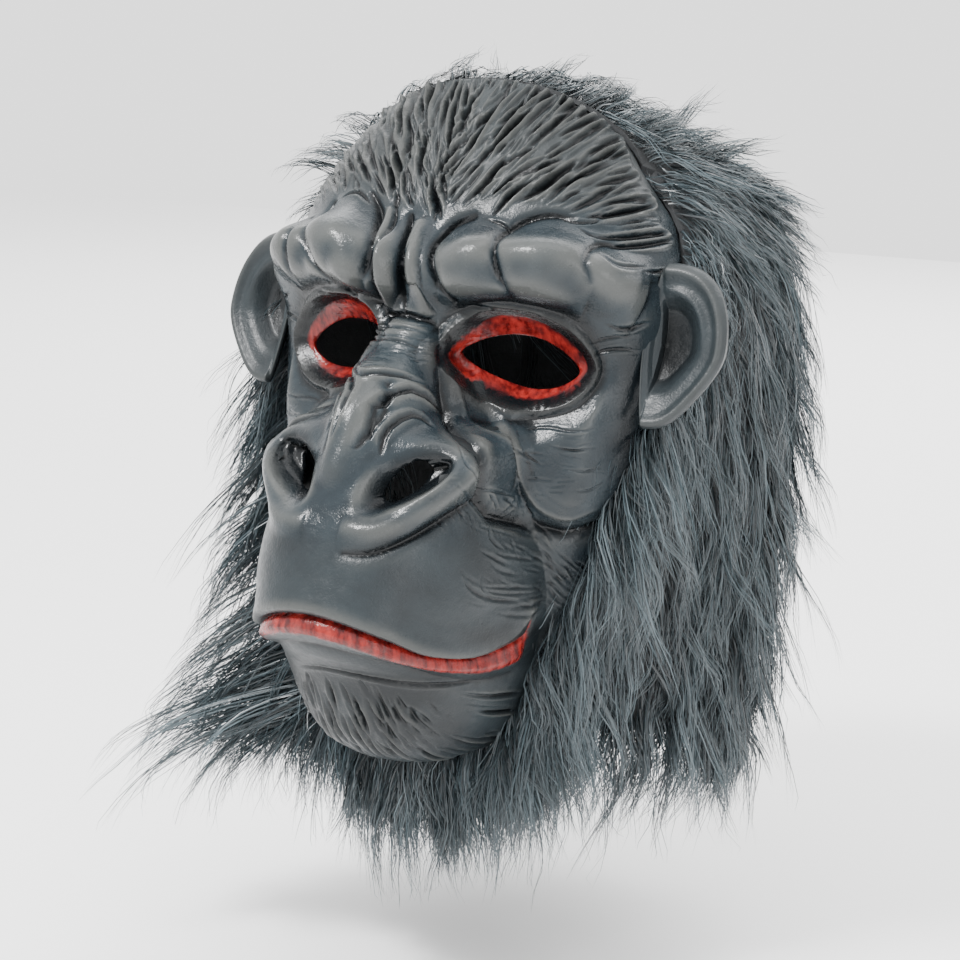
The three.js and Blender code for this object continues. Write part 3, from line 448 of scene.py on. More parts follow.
def main_forms(S):
    forward = np.array([0, -1.0, 0])
    S.lump(0, -80, 33, 22, 0, 9)
    S.lump(0, -92, 30, 16, 0, 5)
    for side in (1, -1):
        m = (lambda p: p) if side > 0 else mirrored
        S.lump(side * 38, -77, 40, 27, 0, -9.5)
        S.stroke(m([(4, -47), (18, -44), (40, -42), (60, -46), (74, -56)]), 9.5, 9.0, taper=0.25)
        S.stroke(m([(10, -53), (25, -53), (42, -52), (60, -56)]), 4.5, 3.5, taper=0.4)
    for lump in [(21, -43, 12, 15, -15, 3.6), (47, -43, 18, 15, -8, 4.0), (66, -47, 11, 11, 0, 3),
                 (-34, -40, 15, 19, 20, 5.5), (-24, -52, 7, 9, 20, 3), (-58, -46, 11, 13, 0, 4)]:
        S.lump(*lump)
    for w, h, kind, taper, points in FOLDS[:11]:
        S.stroke(points, w, h, kind, taper)
    for side in (1, -1):
        m = (lambda p: p) if side > 0 else mirrored
        S.region(m(BAG), 3.4, 11)
        S.stroke(m(GROOVE), 2.4, -4.4, "sharp", 0.35)
        S.stroke(m(BAG_RIM), 1.0, 0.9, taper=0.4)
        S.stroke(m(BAG_CREASE), 0.8, -0.5, "sharp", 0.4)
        idx, q = S.levels([m(HOLE), m(RED), m(RING)])
        S.add(idx, np.interp(q, [-1, 0, 0.85, 1.0, 1.5, 2.0, 3.0], [-5.5, -4.0, -1.4, -1.0, 3.0, -0.5, 0]))
        S.red[idx] = np.maximum(S.red[idx], np.where(q < 1.0, np.interp(q, [0.9, 1.0], [1, 0]), 0))
        S.dark[idx] = np.maximum(S.dark[idx], np.interp(q, [0.85, 1.0, 1.45, 1.9, 2.3], [0, 1, 0.9, 0.45, 0]))
        for w, amount, points in GLAZE_AND_SHADE:
            S.shade(m(points), w, amount)
    S.lump(0, -106, 30, 20, 0, 5, direction=forward)
    S.lump(-1, -103, 12, 17, 0, 8, direction=forward)
    for side in (1, -1):
        m = (lambda p: p) if side > 0 else mirrored
        # wings: a broad lobe and a thick rim round the outer side of each nostril
        S.lump(side * 30, -109, 15, 19, -8 * side, 12, direction=np.array([side * 0.62, -0.78, 0.0]))
        S.stroke(m([(31, -101), (34, -112), (31, -123), (20, -131), (7, -131)]), 4.5, 3.5, taper=0.3)
        idx, q = S.levels([m(NOSTRIL), m(CREST)])
        S.add(idx, np.interp(q, [-1, -0.6, 0, 0.35, 0.7, 1.0], [-14, -13, -9, -4.5, -1.2, 0]), forward)
        # painted shade down into the nostril pits
        S.dark[idx] = np.maximum(S.dark[idx], np.interp(q, [-1, 0.2, 0.8], [1, 0.9, 0]))
    for w, h, kind, taper, points in FOLDS[11:]:
        S.stroke(points, w, h, kind, taper)
    lip = curve(LIP, 60)
    P, N = S.P0, S.N
    idx = np.where((N[:, 1] < 0.2) & (np.abs(P[:, 0]) < 52) & (P[:, 2] < -130))[0]
    dz = P[idx, 2] - np.interp(P[idx, 0], lip[:, 0], lip[:, 1])
    fade = smooth((-P[idx, 1] - 98) / 10)
    S.add(idx, fade * np.interp(dz, [-30, -22, -16, -11, -7.2, -6, -4, -1.2, -0.3, 0.5, 2.5, 8, 14],
                                [0, 0, 0.2, -0.8, 1.4, 2.2, 2.6, 0.4, -2.8, 1.0, 2.8, 1.0, 0]))
    S.red[idx] = np.maximum(S.red[idx], np.where((dz < -0.2) & (dz > -6.3), 1, 0) * (fade > 0.3))


def hair_stroke(S, x, z, angle, length, w, depth, bend=0.0):
    c, s = math.cos(angle), math.sin(angle)
    a, b = length / 2, bend * length
    S.groove([(x - a * c, z - a * s), (x - b * s, z + b * c), (x + a * c, z + a * s)], w, depth)


def carved_hair(S):
    """Combed grooves over the forehead, temples, cheeks and chin."""
    near_brow = np.array([[4, -26], [20, -22], [46, -21], [70, -33], [79, -52]])
    for side in (1, -1):
        for k in range(560):
            x, z = rng.uniform(-2, 79), rng.uniform(-55, 22)
            if z < np.interp(x, near_brow[:, 0], near_brow[:, 1]) + 1:
                continue
            angle = math.atan2(z + 75, x + 25) + rng.normal(0, 0.12)
            if x > 62:
                angle *= 0.6
            big = rng.random() < 0.22
            length = rng.uniform(14, 25) if big else rng.uniform(6, 14)
            w = rng.uniform(0.9, 1.35) if big else rng.uniform(0.45, 0.8)
            depth = rng.uniform(1.5, 2.5) if big else rng.uniform(0.55, 1.1)
            angle = angle if side > 0 else math.pi - angle
            hair_stroke(S, side * x, z, angle, length, w, depth, rng.uniform(-0.07, 0.07))
    # cheek hair between the bag and the muzzle, and below the temples
    for side in (1, -1):
        for k in range(90):
            t = rng.random()
            x, z = 37 + 22 * t * rng.uniform(0.6, 1), -121 - 42 * t
            angle = math.radians(-62 + rng.normal(0, 9))
            angle = angle if side > 0 else math.pi - angle
            hair_stroke(S, side * (x + rng.uniform(-5, 5)), z + rng.uniform(-5, 5), angle, rng.uniform(6, 15),
                        rng.uniform(0.45, 0.8), rng.uniform(0.4, 0.9), rng.uniform(-0.08, 0.08))
    # beard of the chin
    for k in range(150):
        x, z = rng.uniform(-40, 40), rng.uniform(-224, -191)
        if z > -192 - 0.004 * x * x:
            continue
        angle = math.radians(-90 + 0.7 * x + rng.normal(0, 5))
        hair_stroke(S, x, z, angle, rng.uniform(9, 20), rng.uniform(0.6, 1.0),
                    rng.uniform(0.6, 1.3), rng.uniform(-0.06, 0.06))
    for w, depth, points in WRINKLES:
        S.groove(points, w, depth, 0.4)
    for side in (1, -1):
        for w, depth, points in BAG_CRACKS:
            S.groove(points if side > 0 else mirrored(points), w, depth, 0.3)
    # fine creases that cross the bags, the nose root and the eye corners
    for k in range(70):
        side = rng.choice([-1, 1])
        x, z = rng.uniform(24, 68), rng.uniform(-132, -96)
        if z < -96 - (x - 20) * 0.95 - 4:
            continue
        hair_stroke(S, side * x, z, rng.uniform(-0.5, 0.5), rng.uniform(4, 10),
                    rng.uniform(0.35, 0.5), rng.uniform(0.2, 0.4))
    for k in range(60):
        x, z = rng.uniform(-26, 24), rng.uniform(-96, -64)
        hair_stroke(S, x, z, rng.normal(0, 0.5), rng.uniform(5, 12),
                    rng.uniform(0.35, 0.55), rng.uniform(0.2, 0.45), rng.uniform(-0.1, 0.1))


# Meshes


def make_mesh(name, verts, faces, replaces, paint=None, smooth_faces=True):
    """A piece from vertices in drawn millimetres and lists of triangles and quads."""
    loops = np.concatenate([np.asarray(f, np.int32).ravel() for f in faces])
    counts = np.concatenate([np.full(len(f), np.asarray(f).shape[1], np.int32) for f in faces])
    me = bpy.data.meshes.new(name)
    me.vertices.add(len(verts))
    me.vertices.foreach_set("co", (np.asarray(verts, np.float32) * MM).ravel())
    me.loops.add(len(loops))
    me.loops.foreach_set("vertex_index", loops)
    me.polygons.add(len(counts))
    me.polygons.foreach_set("loop_start", np.concatenate([[0], np.cumsum(counts)[:-1]]).astype(np.int32))
    me.polygons.foreach_set("use_smooth", np.full(len(counts), smooth_faces))
    if paint is not None:
        layer = me.attributes.new("paint", "FLOAT_COLOR", "POINT")
        layer.data.foreach_set("color", np.asarray(paint, np.float32).ravel())
    me.update(calc_edges=True)
    me.validate()
    ob = bpy.data.objects.new(name, me)
    bpy.context.scene.collection.objects.link(ob)
    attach(ob, "root")
    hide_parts(replaces)
    return ob


def blur(A, r, rounds=2):
    for _ in range(rounds):
        for axis in (0, 1):
            pad = [(0, 0), (0, 0)]
            pad[axis] = (r + 1, r)
            c = np.cumsum(np.pad(A, pad, mode="edge"), axis=axis)
            n = A.shape[axis]
            w = 2 * r + 1
            A = (np.take(c, range(w, w + n), axis) - np.take(c, range(0, n), axis)) / w
    return A


NU, NV = 441, 560
base = base_grid(NU, NV)
S = Sculpt(base)
main_forms(S)
carved_hair(S)
G = S.G.reshape(NV, NU, 3)
rise = ((S.G - S.P0) * S.N).sum(1).reshape(NV, NU)
fine = rise - blur(rise, 5)
# creases and hollows go toward black: black glaze there, deepened as painted shade
glaze_and_crease_shade = np.maximum(smooth(-fine / 0.75), S.dark.reshape(NV, NU))
# raised detail gets lighter: dry-brushed paint that also serves as a painted highlight
ridge_paint_and_highlight = smooth(fine / 0.9)
red = S.red.reshape(NV, NU)
X, Z = base[..., 0], base[..., 2]
# matte on the forehead and muzzle, glossy round the eyes, brow and bags
gloss = smooth((-14 - Z) / 18) * (1 - 0.55 * smooth((-128 - Z) / 14) * smooth((60 - np.abs(X)) / 12))
normals = grid_normals(G)


def hole_mask(grid, outlines, grow=(0, 0)):
    inner = np.zeros(grid.shape[:2], bool)
    for outline, F0 in outlines:
        c = np.mean(outline, 0)
        big = (np.array(outline) - c)
        wider = grow[0] if F0 < 80 else grow[1]
        big = c + big * (1 + wider / np.linalg.norm(big, axis=1, keepdims=True))
        inner |= inside(grid[..., 0], grid[..., 2], loop(big, 96)) & (grid[..., 1] < -F0)
    return inner


HOLES = [(HOLE, 60), (mirrored(HOLE), 60), (NOSTRIL, 90), (mirrored(NOSTRIL), 90)]


def face_piece():
    P = G.copy()
    gone = hole_mask(P, HOLES)
    quad_gone = gone[:-1, :-1].astype(int) + gone[1:, :-1] + gone[:-1, 1:] + gone[1:, 1:] >= 3
    index = np.arange(NU * NV).reshape(NV, NU)
    quads = np.stack([index[:-1, :-1], index[:-1, 1:], index[1:, 1:], index[1:, :-1]], -1)
    # settle the hole's border on its outline
    touch_gone = np.zeros((NV, NU), bool)
    touch_kept = np.zeros((NV, NU), bool)
    for dj in (0, 1):
        for di in (0, 1):
            touch_gone[dj:NV - 1 + dj, di:NU - 1 + di] |= quad_gone
            touch_kept[dj:NV - 1 + dj, di:NU - 1 + di] |= ~quad_gone
    border = touch_gone & touch_kept
    outlines = [loop(o, 96) for o, _ in HOLES]
    for j, i in zip(*np.where(border)):
        p = P[j, i, [0, 2]]
        best = None
        for o in outlines:
            q = np.roll(o, -1, 0)
            ab = q - o
            t = np.clip(((p - o) * ab).sum(1) / (ab * ab).sum(1), 0, 1)
            c = o + t[:, None] * ab
            d = np.linalg.norm(c - p, axis=1)
            k = d.argmin()
            if best is None or d[k] < best[0]:
                best = (d[k], c[k])
        if best[0] < 2.5:
            P[j, i, [0, 2]] = best[1]
    verts = [P.reshape(-1, 3)]
    paint = np.stack([red, gloss, ridge_paint_and_highlight, glaze_and_crease_shade], -1).reshape(-1, 4)
    paints = [paint]
    faces = [quads[~quad_gone]]
    # lips of the holes and the outer rim, as deep as the latex
    deep = P - normals * LATEX
    edges = []
    kept = ~quad_gone
    padded = np.pad(kept, 1)
    up, down = padded[2:, 1:-1], padded[:-2, 1:-1]
    left, right = padded[1:-1, :-2], padded[1:-1, 2:]
    for mask, a, b in ((kept & ~down, quads[..., 0], quads[..., 1]), (kept & ~right, quads[..., 1], quads[..., 2]),
                       (kept & ~up, quads[..., 2], quads[..., 3]), (kept & ~left, quads[..., 3], quads[..., 0])):
        edges.append(np.stack([a[mask], b[mask]], -1))
    edges = np.concatenate(edges)
    used, back = np.unique(edges, return_inverse=True)
    back = back.reshape(edges.shape)
    n = NU * NV
    verts.append(deep.reshape(-1, 3)[used])
    paints.append(paint[used] * [1, 1, 0, 1])
    faces.append(np.stack([edges[:, 1], edges[:, 0], n + back[:, 0], n + back[:, 1]], -1))
    n += len(used)
    # the inside, plain
    si, sj = 5, 7
    ci = np.arange(0, NU, si)
    cj = np.unique(np.append(np.arange(0, NV, sj), NV - 1))
    low = rise.copy()
    for _ in range(4):
        beside = [np.roll(low, step, axis) for axis in (0, 1) for step in (1, -1)]
        low = np.minimum.reduce([low] + beside)
    sheet = (base + grid_normals(base) * (low - LATEX)[..., None])[np.ix_(cj, ci)]
    gone = hole_mask(sheet, HOLES, (0.6, 5))
    quad_gone = (gone[:-1, :-1] | gone[1:, :-1] | gone[:-1, 1:] | gone[1:, 1:])
    index = n + np.arange(sheet.shape[0] * sheet.shape[1]).reshape(sheet.shape[:2])
    quads = np.stack([index[:-1, :-1], index[1:, :-1], index[1:, 1:], index[:-1, 1:]], -1)
    verts.append(sheet.reshape(-1, 3))
    paints.append(np.tile([0, 0, 0, 0.6], (index.size, 1)))
    faces.append(quads[~quad_gone])
    ob = make_mesh("face_skin", np.concatenate(verts), faces, "latex_face", np.concatenate(paints))
    return ob


def thin_out(ob, most):
    """Collapse flat parts of a mesh to at most this many triangles."""
    tris = sum(len(p.vertices) - 2 for p in ob.data.polygons)
    if tris <= most:
        return
    mod = ob.modifiers.new("thin", "DECIMATE")
    mod.ratio = most / tris
    bpy.context.view_layer.update()
    dg = bpy.context.evaluated_depsgraph_get()
    me = bpy.data.meshes.new_from_object(ob.evaluated_get(dg), depsgraph=dg)
    ob.modifiers.clear()
    old = ob.data
    ob.data = me
    bpy.data.meshes.remove(old)
    for p in ob.data.polygons:
        p.use_smooth = True


def ear_piece(side, rings=40, spokes=120):
    a = np.arange(spokes) / spokes * 2 * np.pi
    c, s = np.cos(a), np.sin(a)
    front, back, paint = [], [], []
    for r in np.linspace(0, 1, rings + 1)[1:]:
        x = r * np.where(c > 0, EAR["out"], EAR["inner"]) * np.sign(c) * np.abs(c) ** 0.75 * (1 - 0.3 * smooth(-s))
        z = r * EAR["high"] * s * (1 - 0.03 * (s < 0))
        cup = np.interp(r, EAR_AT, EAR_RISE) * (0.4 + 0.6 * smooth((c + 0.35) / 0.3))
        # the inner fold, stronger in the upper half
        cup = cup + 1.5 * np.exp(-((r - 0.66) / 0.07) ** 2) * smooth((s + 0.2) / 0.8) * smooth((c + 0.2) / 0.5)
        f = EAR["front"] - EAR["lean"] * (z / EAR["high"]) - 0.12 * x + cup
        front.append(np.stack([side * (EAR["side"] + x), -f, EAR["up"] + z], -1))
        plate = f - cup * 0.8 - EAR["wall"] * (1 if r < 0.97 else 0.6)
        back.append(np.stack([side * (EAR["side"] + x), -np.minimum(plate, f - 1.2), EAR["up"] + z], -1))
        # the ear's bowl and middle go dark: painted shade in the hollow
        dark = smooth((0.62 - r) / 0.3) * smooth((c + 0.6) / 0.6)
        # a lighter band on the rim: dry-brushed paint that also serves as a painted highlight
        rim_ridge_paint_and_highlight = 0.5 * np.exp(-((r - 0.93) / 0.05) ** 2)
        paint.append(np.stack([0 * c, 0.35 + 0 * c, rim_ridge_paint_and_highlight + 0 * c, 0.9 * dark], -1))
    middle = EAR["front"] + EAR_RISE[0] * 0.6
    hubs = [[[side * EAR["side"], -middle + depth, EAR["up"]]] for depth in (0, EAR["wall"] * 2)]
    verts = np.concatenate(front + back + hubs)
    paint = np.concatenate(paint + paint + [[[0, 0.3, 0, 0.9]], [[0, 0.3, 0, 0.5]]])
    n = rings * spokes
    k, i = np.meshgrid(np.arange(rings - 1), np.arange(spokes), indexing="ij")
    k, i = k.ravel(), i.ravel()
    j = (i + 1) % spokes
    fq = np.stack([k * spokes + i, (k + 1) * spokes + i, (k + 1) * spokes + j, k * spokes + j], -1)
    bq = n + fq[:, ::-1]
    i = np.arange(spokes)
    j = (i + 1) % spokes
    last = (rings - 1) * spokes
    rim = np.stack([last + i, n + last + i, n + last + j, last + j], -1)
    caps = np.concatenate([np.stack([np.full(spokes, 2 * n), i, j], -1),
                           np.stack([np.full(spokes, 2 * n + 1), n + j, n + i], -1)])
    quads = np.concatenate([fq, bq, rim])
    if side < 0:
        quads, caps = quads[:, ::-1], caps[:, ::-1]
    name = "left" if side > 0 else "right"
    return make_mesh("ear_skin_" + name, verts, [quads, caps], "ear_" + name, paint)


# The hood as a table over share (hem to forehead) and round (left edge, back, right edge)
HOOP_AT = np.linspace(0, 1, len(HOOPS))


def edge_point(place):
    row = through(SECTION_AT, SECTIONS, np.clip(place, 0, 1))[0]
    return np.array([row[2], -row[3] + 4 * GAP, row[4]])


def hoop(share, rounds):
    edge, backF, backZ, power, bulge, over, pile, puff = through(HOOP_AT, HOOPS, share)[0]
    start, end = edge_point(edge), np.array([0, -backF, backZ])
    a = np.linspace(0, 1, 61) * np.pi / 2
    x = start[0] * np.cos(a) ** (2 / power) + bulge * np.sin(2 * a) * np.cos(a)
    x[-1] = 0
    f = np.sin(a) ** (2 / power)
    line = np.stack([x, start[1] + (end[1] - start[1]) * f, start[2] + (end[2] - start[2]) * f], -1)
    d = np.concatenate([[0], np.cumsum(np.linalg.norm(np.diff(line, axis=0), axis=1))])
    q = d[-1] * (1 - np.abs(rounds))
    p = np.stack([np.interp(q, d, line[:, k]) for k in range(3)], -1)
    p[rounds < 0, 0] *= -1
    return p, d[-1]


HS, HR = 81, 161
hood_s, hood_r = np.linspace(0, 1, HS), np.linspace(1, -1, HR)
hood_rows = [hoop(s, hood_r) for s in hood_s]
HOOD = np.stack([p for p, _ in hood_rows])
HOOD_N = unit(np.cross(np.gradient(HOOD, axis=1), np.gradient(HOOD, axis=0)))
if HOOD_N[20, 80, 1] < 0:
    HOOD_N = -HOOD_N
HOOD_DOWN = unit(-np.gradient(HOOD, axis=0))


def on_table(table, s, r):
    i = np.clip(s * (HS - 1), 0, HS - 1.001)
    j = np.clip((1 - r) / 2 * (HR - 1), 0, HR - 1.001)
    a, b = i.astype(int), j.astype(int)
    u, v = (i - a)[:, None], (j - b)[:, None]
    return (table[a, b] * (1 - u) * (1 - v) + table[a + 1, b] * u * (1 - v)
            + table[a, b + 1] * (1 - u) * v + table[a + 1, b + 1] * u * v)


def scatter(s0, s1, r0, r1, spacing, tries=9):
    """Evenly spread places (share, round) in a patch of the hood."""
    e1 = np.linalg.norm(np.diff(HOOD, axis=0)[:, :-1], axis=-1)
    e2 = np.linalg.norm(np.diff(HOOD, axis=1)[:-1], axis=-1)
    area = e1 * e2
    sc, rc = (hood_s[:-1] + hood_s[1:]) / 2, (hood_r[:-1] + hood_r[1:]) / 2
    lo, hi = min(r0, r1), max(r0, r1)
    area = area * ((sc >= s0) & (sc <= s1))[:, None] * ((rc >= lo) & (rc <= hi))[None]
    count = int(area.sum() / spacing ** 2 * tries)
    pick = rng.choice(area.size, count, p=area.ravel() / area.sum())
    i, j = np.unravel_index(pick, area.shape)
    s = (i + rng.random(count)) / (HS - 1)
    r = 1 - 2 * (j + rng.random(count)) / (HR - 1)
    P = on_table(HOOD, s, r)
    keep = []
    for k in range(count):
        if not keep or np.min(((P[keep] - P[k]) ** 2).sum(1)) > (0.75 * spacing) ** 2:
            keep.append(k)
    return s[keep], r[keep]


def margin(side, count, s_top=0.5):
    """Places on the latex margin beside the face, that the fur hangs over."""
    s = rng.random(count) * s_top
    rows = through(HOOP_AT, HOOPS, s)
    d = rng.random(count) * np.maximum(rows[:, 5], 0)
    j = np.clip((rows[:, 0] * (NV - 1)).round().astype(int), 2, NV - 3)
    steps = np.linalg.norm(np.diff(G, axis=1), axis=-1)
    P, N = [], []
    for jj, dd in zip(j, d):
        along = np.cumsum(steps[jj] if side < 0 else steps[jj, ::-1])
        i = int(np.searchsorted(along, dd))
        i = i if side < 0 else NU - 1 - i
        P.append(G[jj, i])
        N.append(normals[jj, i])
    return s, np.full(count, side * 1.0), np.array(P), np.array(N)


STEPS = 9
HANG = -266   # the tips reach about this low
HEM = 0.05    # share of the hood that counts as its hem, with denser fur


def fur(name, replaces, patches, per_clump, long_curve, most=195000):
    """Clumped ribbons. Each patch gives places, roots, normals, guide sizes."""
    roots, outs, downs, lifts, lengths, sags, waves = [np.concatenate(v) for v in zip(*patches)]
    n = len(roots)
    per_clump = int(min(per_clump, most / 15 / n))
    u = np.linspace(0, 1, STEPS)
    # guides: out with the pile, then along the hang, with a wave that grows to the tip
    side = unit(np.cross(outs, downs))
    phase, turns = rng.uniform(0, 2 * np.pi, (n, 1)), rng.uniform(0.5, 1.3, (n, 1))
    sway = rng.normal(0, 1, (n, 1))
    wave = ((np.sin(phase + turns * 2 * np.pi * u) - np.sin(phase)) * waves[:, None]
            + sway * (lengths[:, None] * 0.13) * u ** 1.5)
    lift = 1 - (1 - u) ** 2.2
    guide = (roots[:, None] + outs[:, None] * (lifts[:, None] * lift)[..., None]
             + downs[:, None] * (lengths[:, None] * u ** long_curve)[..., None]
             + side[:, None] * wave[..., None]
             + np.array([0, 0, -1.0]) * (sags[:, None] * u ** 2)[..., None])
    ripple = (np.cos(phase + turns * 2 * np.pi * u) - np.cos(phase)) * waves[:, None] * 0.5
    guide += outs[:, None] * ripple[..., None]
    # strands of each clump
    m = n * per_clump
    own = np.repeat(np.arange(n), per_clump)
    ang, rad = rng.uniform(0, 2 * np.pi, m), np.sqrt(rng.random(m)) * 4.6
    o1, o2 = np.cos(ang) * rad, np.sin(ang) * rad
    reach = rng.uniform(0.55, 1.0, m) ** 0.8 * rng.uniform(0.85, 1.15, n)[own]
    close = rng.uniform(0.2, 0.95, m)
    close = np.where(rng.random(m) < 0.22, rng.uniform(1.0, 2.8, m), close)
    uu = np.clip(u[None] * reach[:, None], 0, 1.12)
    k = np.clip(uu * (STEPS - 1), 0, STEPS - 1.0001)
    a = k.astype(int)
    b = (k - a)[..., None]
    P = guide[own[:, None], a] * (1 - b) + guide[own[:, None], a + 1] * b
    spread = 1 + (close[:, None] - 1) * smooth(uu * 1.1)
    down, out, sd = downs[own], outs[own], side[own]
    P = P + (sd[:, None] * (o1[:, None] * spread)[..., None]
             + down[:, None] * (o2[:, None] * spread * (1 - 0.5 * uu))[..., None]
             + out[:, None] * ((rng.normal(0, 1, m)[:, None] * uu) * 1.6)[..., None])
    frizz = rng.uniform(0.4, 1.9, m)
    fp, ff = rng.uniform(0, 6.28, (m, 1)), rng.uniform(1.5, 3.5, (m, 1))
    P = P + sd[:, None] * (np.sin(fp + ff * 6.28 * uu) * frizz[:, None] * uu)[..., None]
    P = P + out[:, None] * (np.cos(fp * 1.7 + ff * 5.1 * uu) * frizz[:, None] * uu)[..., None]
    P = keep_inside(P)
    tangent = unit(np.gradient(P, axis=1))
    roll = rng.normal(0, 0.7, m)
    facing = out * np.cos(roll)[:, None] + sd * np.sin(roll)[:, None]
    across = unit(np.cross(tangent, facing[:, None]))
    width = rng.uniform(0.26, 0.6, m)[:, None] * np.interp(u, [0, 0.5, 1], [1, 0.85, 0.15])[None] / 2
    A, B = P + across * width[..., None], P - across * width[..., None]
    verts = np.concatenate([np.stack([A[:, :-1], B[:, :-1]], 2).reshape(m, -1, 3), P[:, -1:]], 1)
    v = verts.shape[1]
    first = (np.arange(m) * v)[:, None]
    q = np.arange(STEPS - 2)[None]
    quads = np.stack([first + 2 * q, first + 2 * q + 1, first + 2 * q + 3, first + 2 * q + 2], -1).reshape(-1, 4)
    tips = np.stack([first + v - 3, first + v - 2, first + v - 1], -1).reshape(-1, 3)
    tone = np.clip(rng.normal(0.3, 0.26, m) + rng.normal(0, 0.2, n)[own], 0, 1)
    place = np.concatenate([np.repeat(u[:-1], 2), [1]])
    # strands darken towards the root: painted shade where the fur shadows itself
    shade = np.interp(place, [0, 0.45], [0.25, 1])
    paint = np.stack([tone[:, None] * shade, np.repeat(place[None], m, 0), np.zeros((m, v)), np.ones((m, v))], -1)
    return make_mesh(name, verts.reshape(-1, 3), [quads, tips], replaces, paint.reshape(-1, 4))


# The fur stays near the solids' box
box_lo = np.array(bounds_loaded[0]) / MM
box_hi = np.array(bounds_loaded[1]) / MM
room = (box_hi - box_lo) * 0.03 + 8
LOW, HIGH = box_lo - room, box_hi + room


def keep_inside(P):
    middle, half = (LOW + HIGH) / 2, (HIGH - LOW) / 2
    q = (P - middle) / half
    a = np.abs(q)
    soft = np.where(a > 0.93, 0.93 + 0.07 * np.tanh((a - 0.93) / 0.07), a)
    return middle + np.sign(q) * soft * half


def hood_patch(s, r, kind):
    root = on_table(HOOD, s, r)
    out = unit(on_table(HOOD_N, s, r))
    down = unit(on_table(HOOD_DOWN, s, r))
    root = root + out * (FABRIC + 0.3)
    return patch(s, r, root, out, down, kind)


def patch(s, r, root, out, down, kind):
    n = len(s)
    rows = through(HOOP_AT, HOOPS, s)
    pile, puff = rows[:, 6], rows[:, 7]
    # 1 next to the face's edge and below the crown
    beside = smooth((np.abs(r) - 0.68) / 0.3) * smooth((0.62 - s) / 0.1)
    sideways = np.zeros((n, 3))
    sideways[:, 0] = np.sign(r)
    ahead = np.array([0, -1.0, 0])
    low = smooth((0.5 - s) / 0.35)
    turn = (beside * np.clip((puff - pile) / 40, 0, 0.8))[:, None]
    out = unit(out * (1 - turn) + sideways * turn + ahead * (0.3 * beside * low)[:, None])
    g = np.array([0, 0, -1.0])
    # the fur lies flatter on the wearer's left
    if kind == "crown":
        stray = rng.random(n) < 0.14
        flat = np.where(r > 0.1, np.interp(s, [0.85, 0.97], [0.35, 1]), 1)
        lift = pile * rng.uniform(0.4, 0.85, n) * np.where(stray, 1.3, 1) * flat + 1
        length = rng.uniform(16, 34, n) * np.where(stray, 1.3, 1)
        sag = rng.uniform(0, 5, n)
        down = unit(down + sideways * 0.15 + rng.normal(0, 0.28, (n, 3)))
        wave = rng.uniform(0.6, 2.2, n)
    else:
        flat = np.where(r > 0.1, 0.12, 1)
        lift = (pile * rng.uniform(0.3, 0.75, n) * (0.5 + 0.5 * flat)
                + (puff - pile) * beside * flat * rng.uniform(0.1, 1.3, n))
        length = np.minimum(rng.uniform(36, 72, n), (root[:, 2] - HANG) * rng.uniform(0.75, 1.15, n))
        sag = rng.uniform(0, 8, n)
        spread = 0.12 * beside * np.where(r > 0, -2, 1)
        down = unit(down * 0.6 + g * 0.8 + sideways * spread[:, None] + rng.normal(0, 0.27, (n, 3)))
        wave = rng.uniform(2, 6.5, n)
    return root, out, down, lift, length, sag, wave


def side_fur(name, side):
    s, r = scatter(0.0, 0.58, side * 0.38, side * 1.0, 7.3)
    patches = [hood_patch(s, r, "side")]
    patches.append(hood_patch(*scatter(0.0, HEM, side * 0.38, side * 1.0, 4.5), "side"))
    s, r, root, nrm = margin(side, 170 if side > 0 else 330)
    down = unit(np.tile([side * 0.25, 0.1, -1.0], (len(s), 1)))
    patches.append(patch(s, r, root, unit(nrm + np.array([side * 0.8, 0, 0])), down, "side"))
    # under the jaw the locks fall straight, and close the gap to the chin
    n = 150
    s, r, root, nrm = margin(side, n, 0.16)
    down = unit(np.tile([-side * 0.1, 0.1, -1.0], (n, 1)) + rng.normal(0, 0.16, (n, 3)))
    out = unit(np.tile([side * 0.5, -0.7, -0.1], (n, 1)) + rng.normal(0, 0.2, (n, 3)))
    sizes = (rng.uniform(4, 18, n), rng.uniform(30, 62, n), rng.uniform(0, 6, n), rng.uniform(1.2, 4.2, n))
    patches.append((root + np.array([0, 2.0, 0]), out, down) + sizes)
    return fur("strands_" + name, "fur_" + name, patches, 30, 1.15)


def chin_fur():
    n = 120
    x = rng.uniform(-30, 30, n)
    row = G[1]
    j = np.clip(np.searchsorted(row[:, 0], x), 1, NU - 2)
    root = row[j] + np.array([0, 1.5, -0.5])
    out = unit(np.tile([0, -0.6, -0.6], (n, 1)) + rng.normal(0, 0.15, (n, 3))
               + np.stack([x / 60, 0 * x, 0 * x], -1))
    down = unit(np.tile([0, 0.12, -1.0], (n, 1)) + rng.normal(0, 0.18, (n, 3)))
    sizes = (rng.uniform(3, 12, n), rng.uniform(22, 50, n), rng.uniform(0, 6, n), rng.uniform(1, 3.5, n))
    return fur("strands_chin", "fur_chin", [(root, out, down) + sizes], 30, 1.1, 60000)


# Materials


def new_material(name):
    mat = bpy.data.materials.new(name)
    mat.use_nodes = True
    tree = mat.node_tree
    tree.nodes.clear()
    out = tree.nodes.new("ShaderNodeOutputMaterial")
    shader = tree.nodes.new("ShaderNodeBsdfPrincipled")
    tree.links.new(shader.outputs[0], out.inputs[0])
    return mat, tree, shader


def mixed(tree, factor, a, b, blend="MIX"):
    nd = tree.nodes.new("ShaderNodeMix")
    nd.data_type = "RGBA"
    nd.blend_type = blend
    for socket, value in ((nd.inputs[0], factor), (nd.inputs[6], a), (nd.inputs[7], b)):
        if hasattr(value, "links"):
            tree.links.new(value, socket)
        else:
            socket.default_value = value
    return nd.outputs[2]


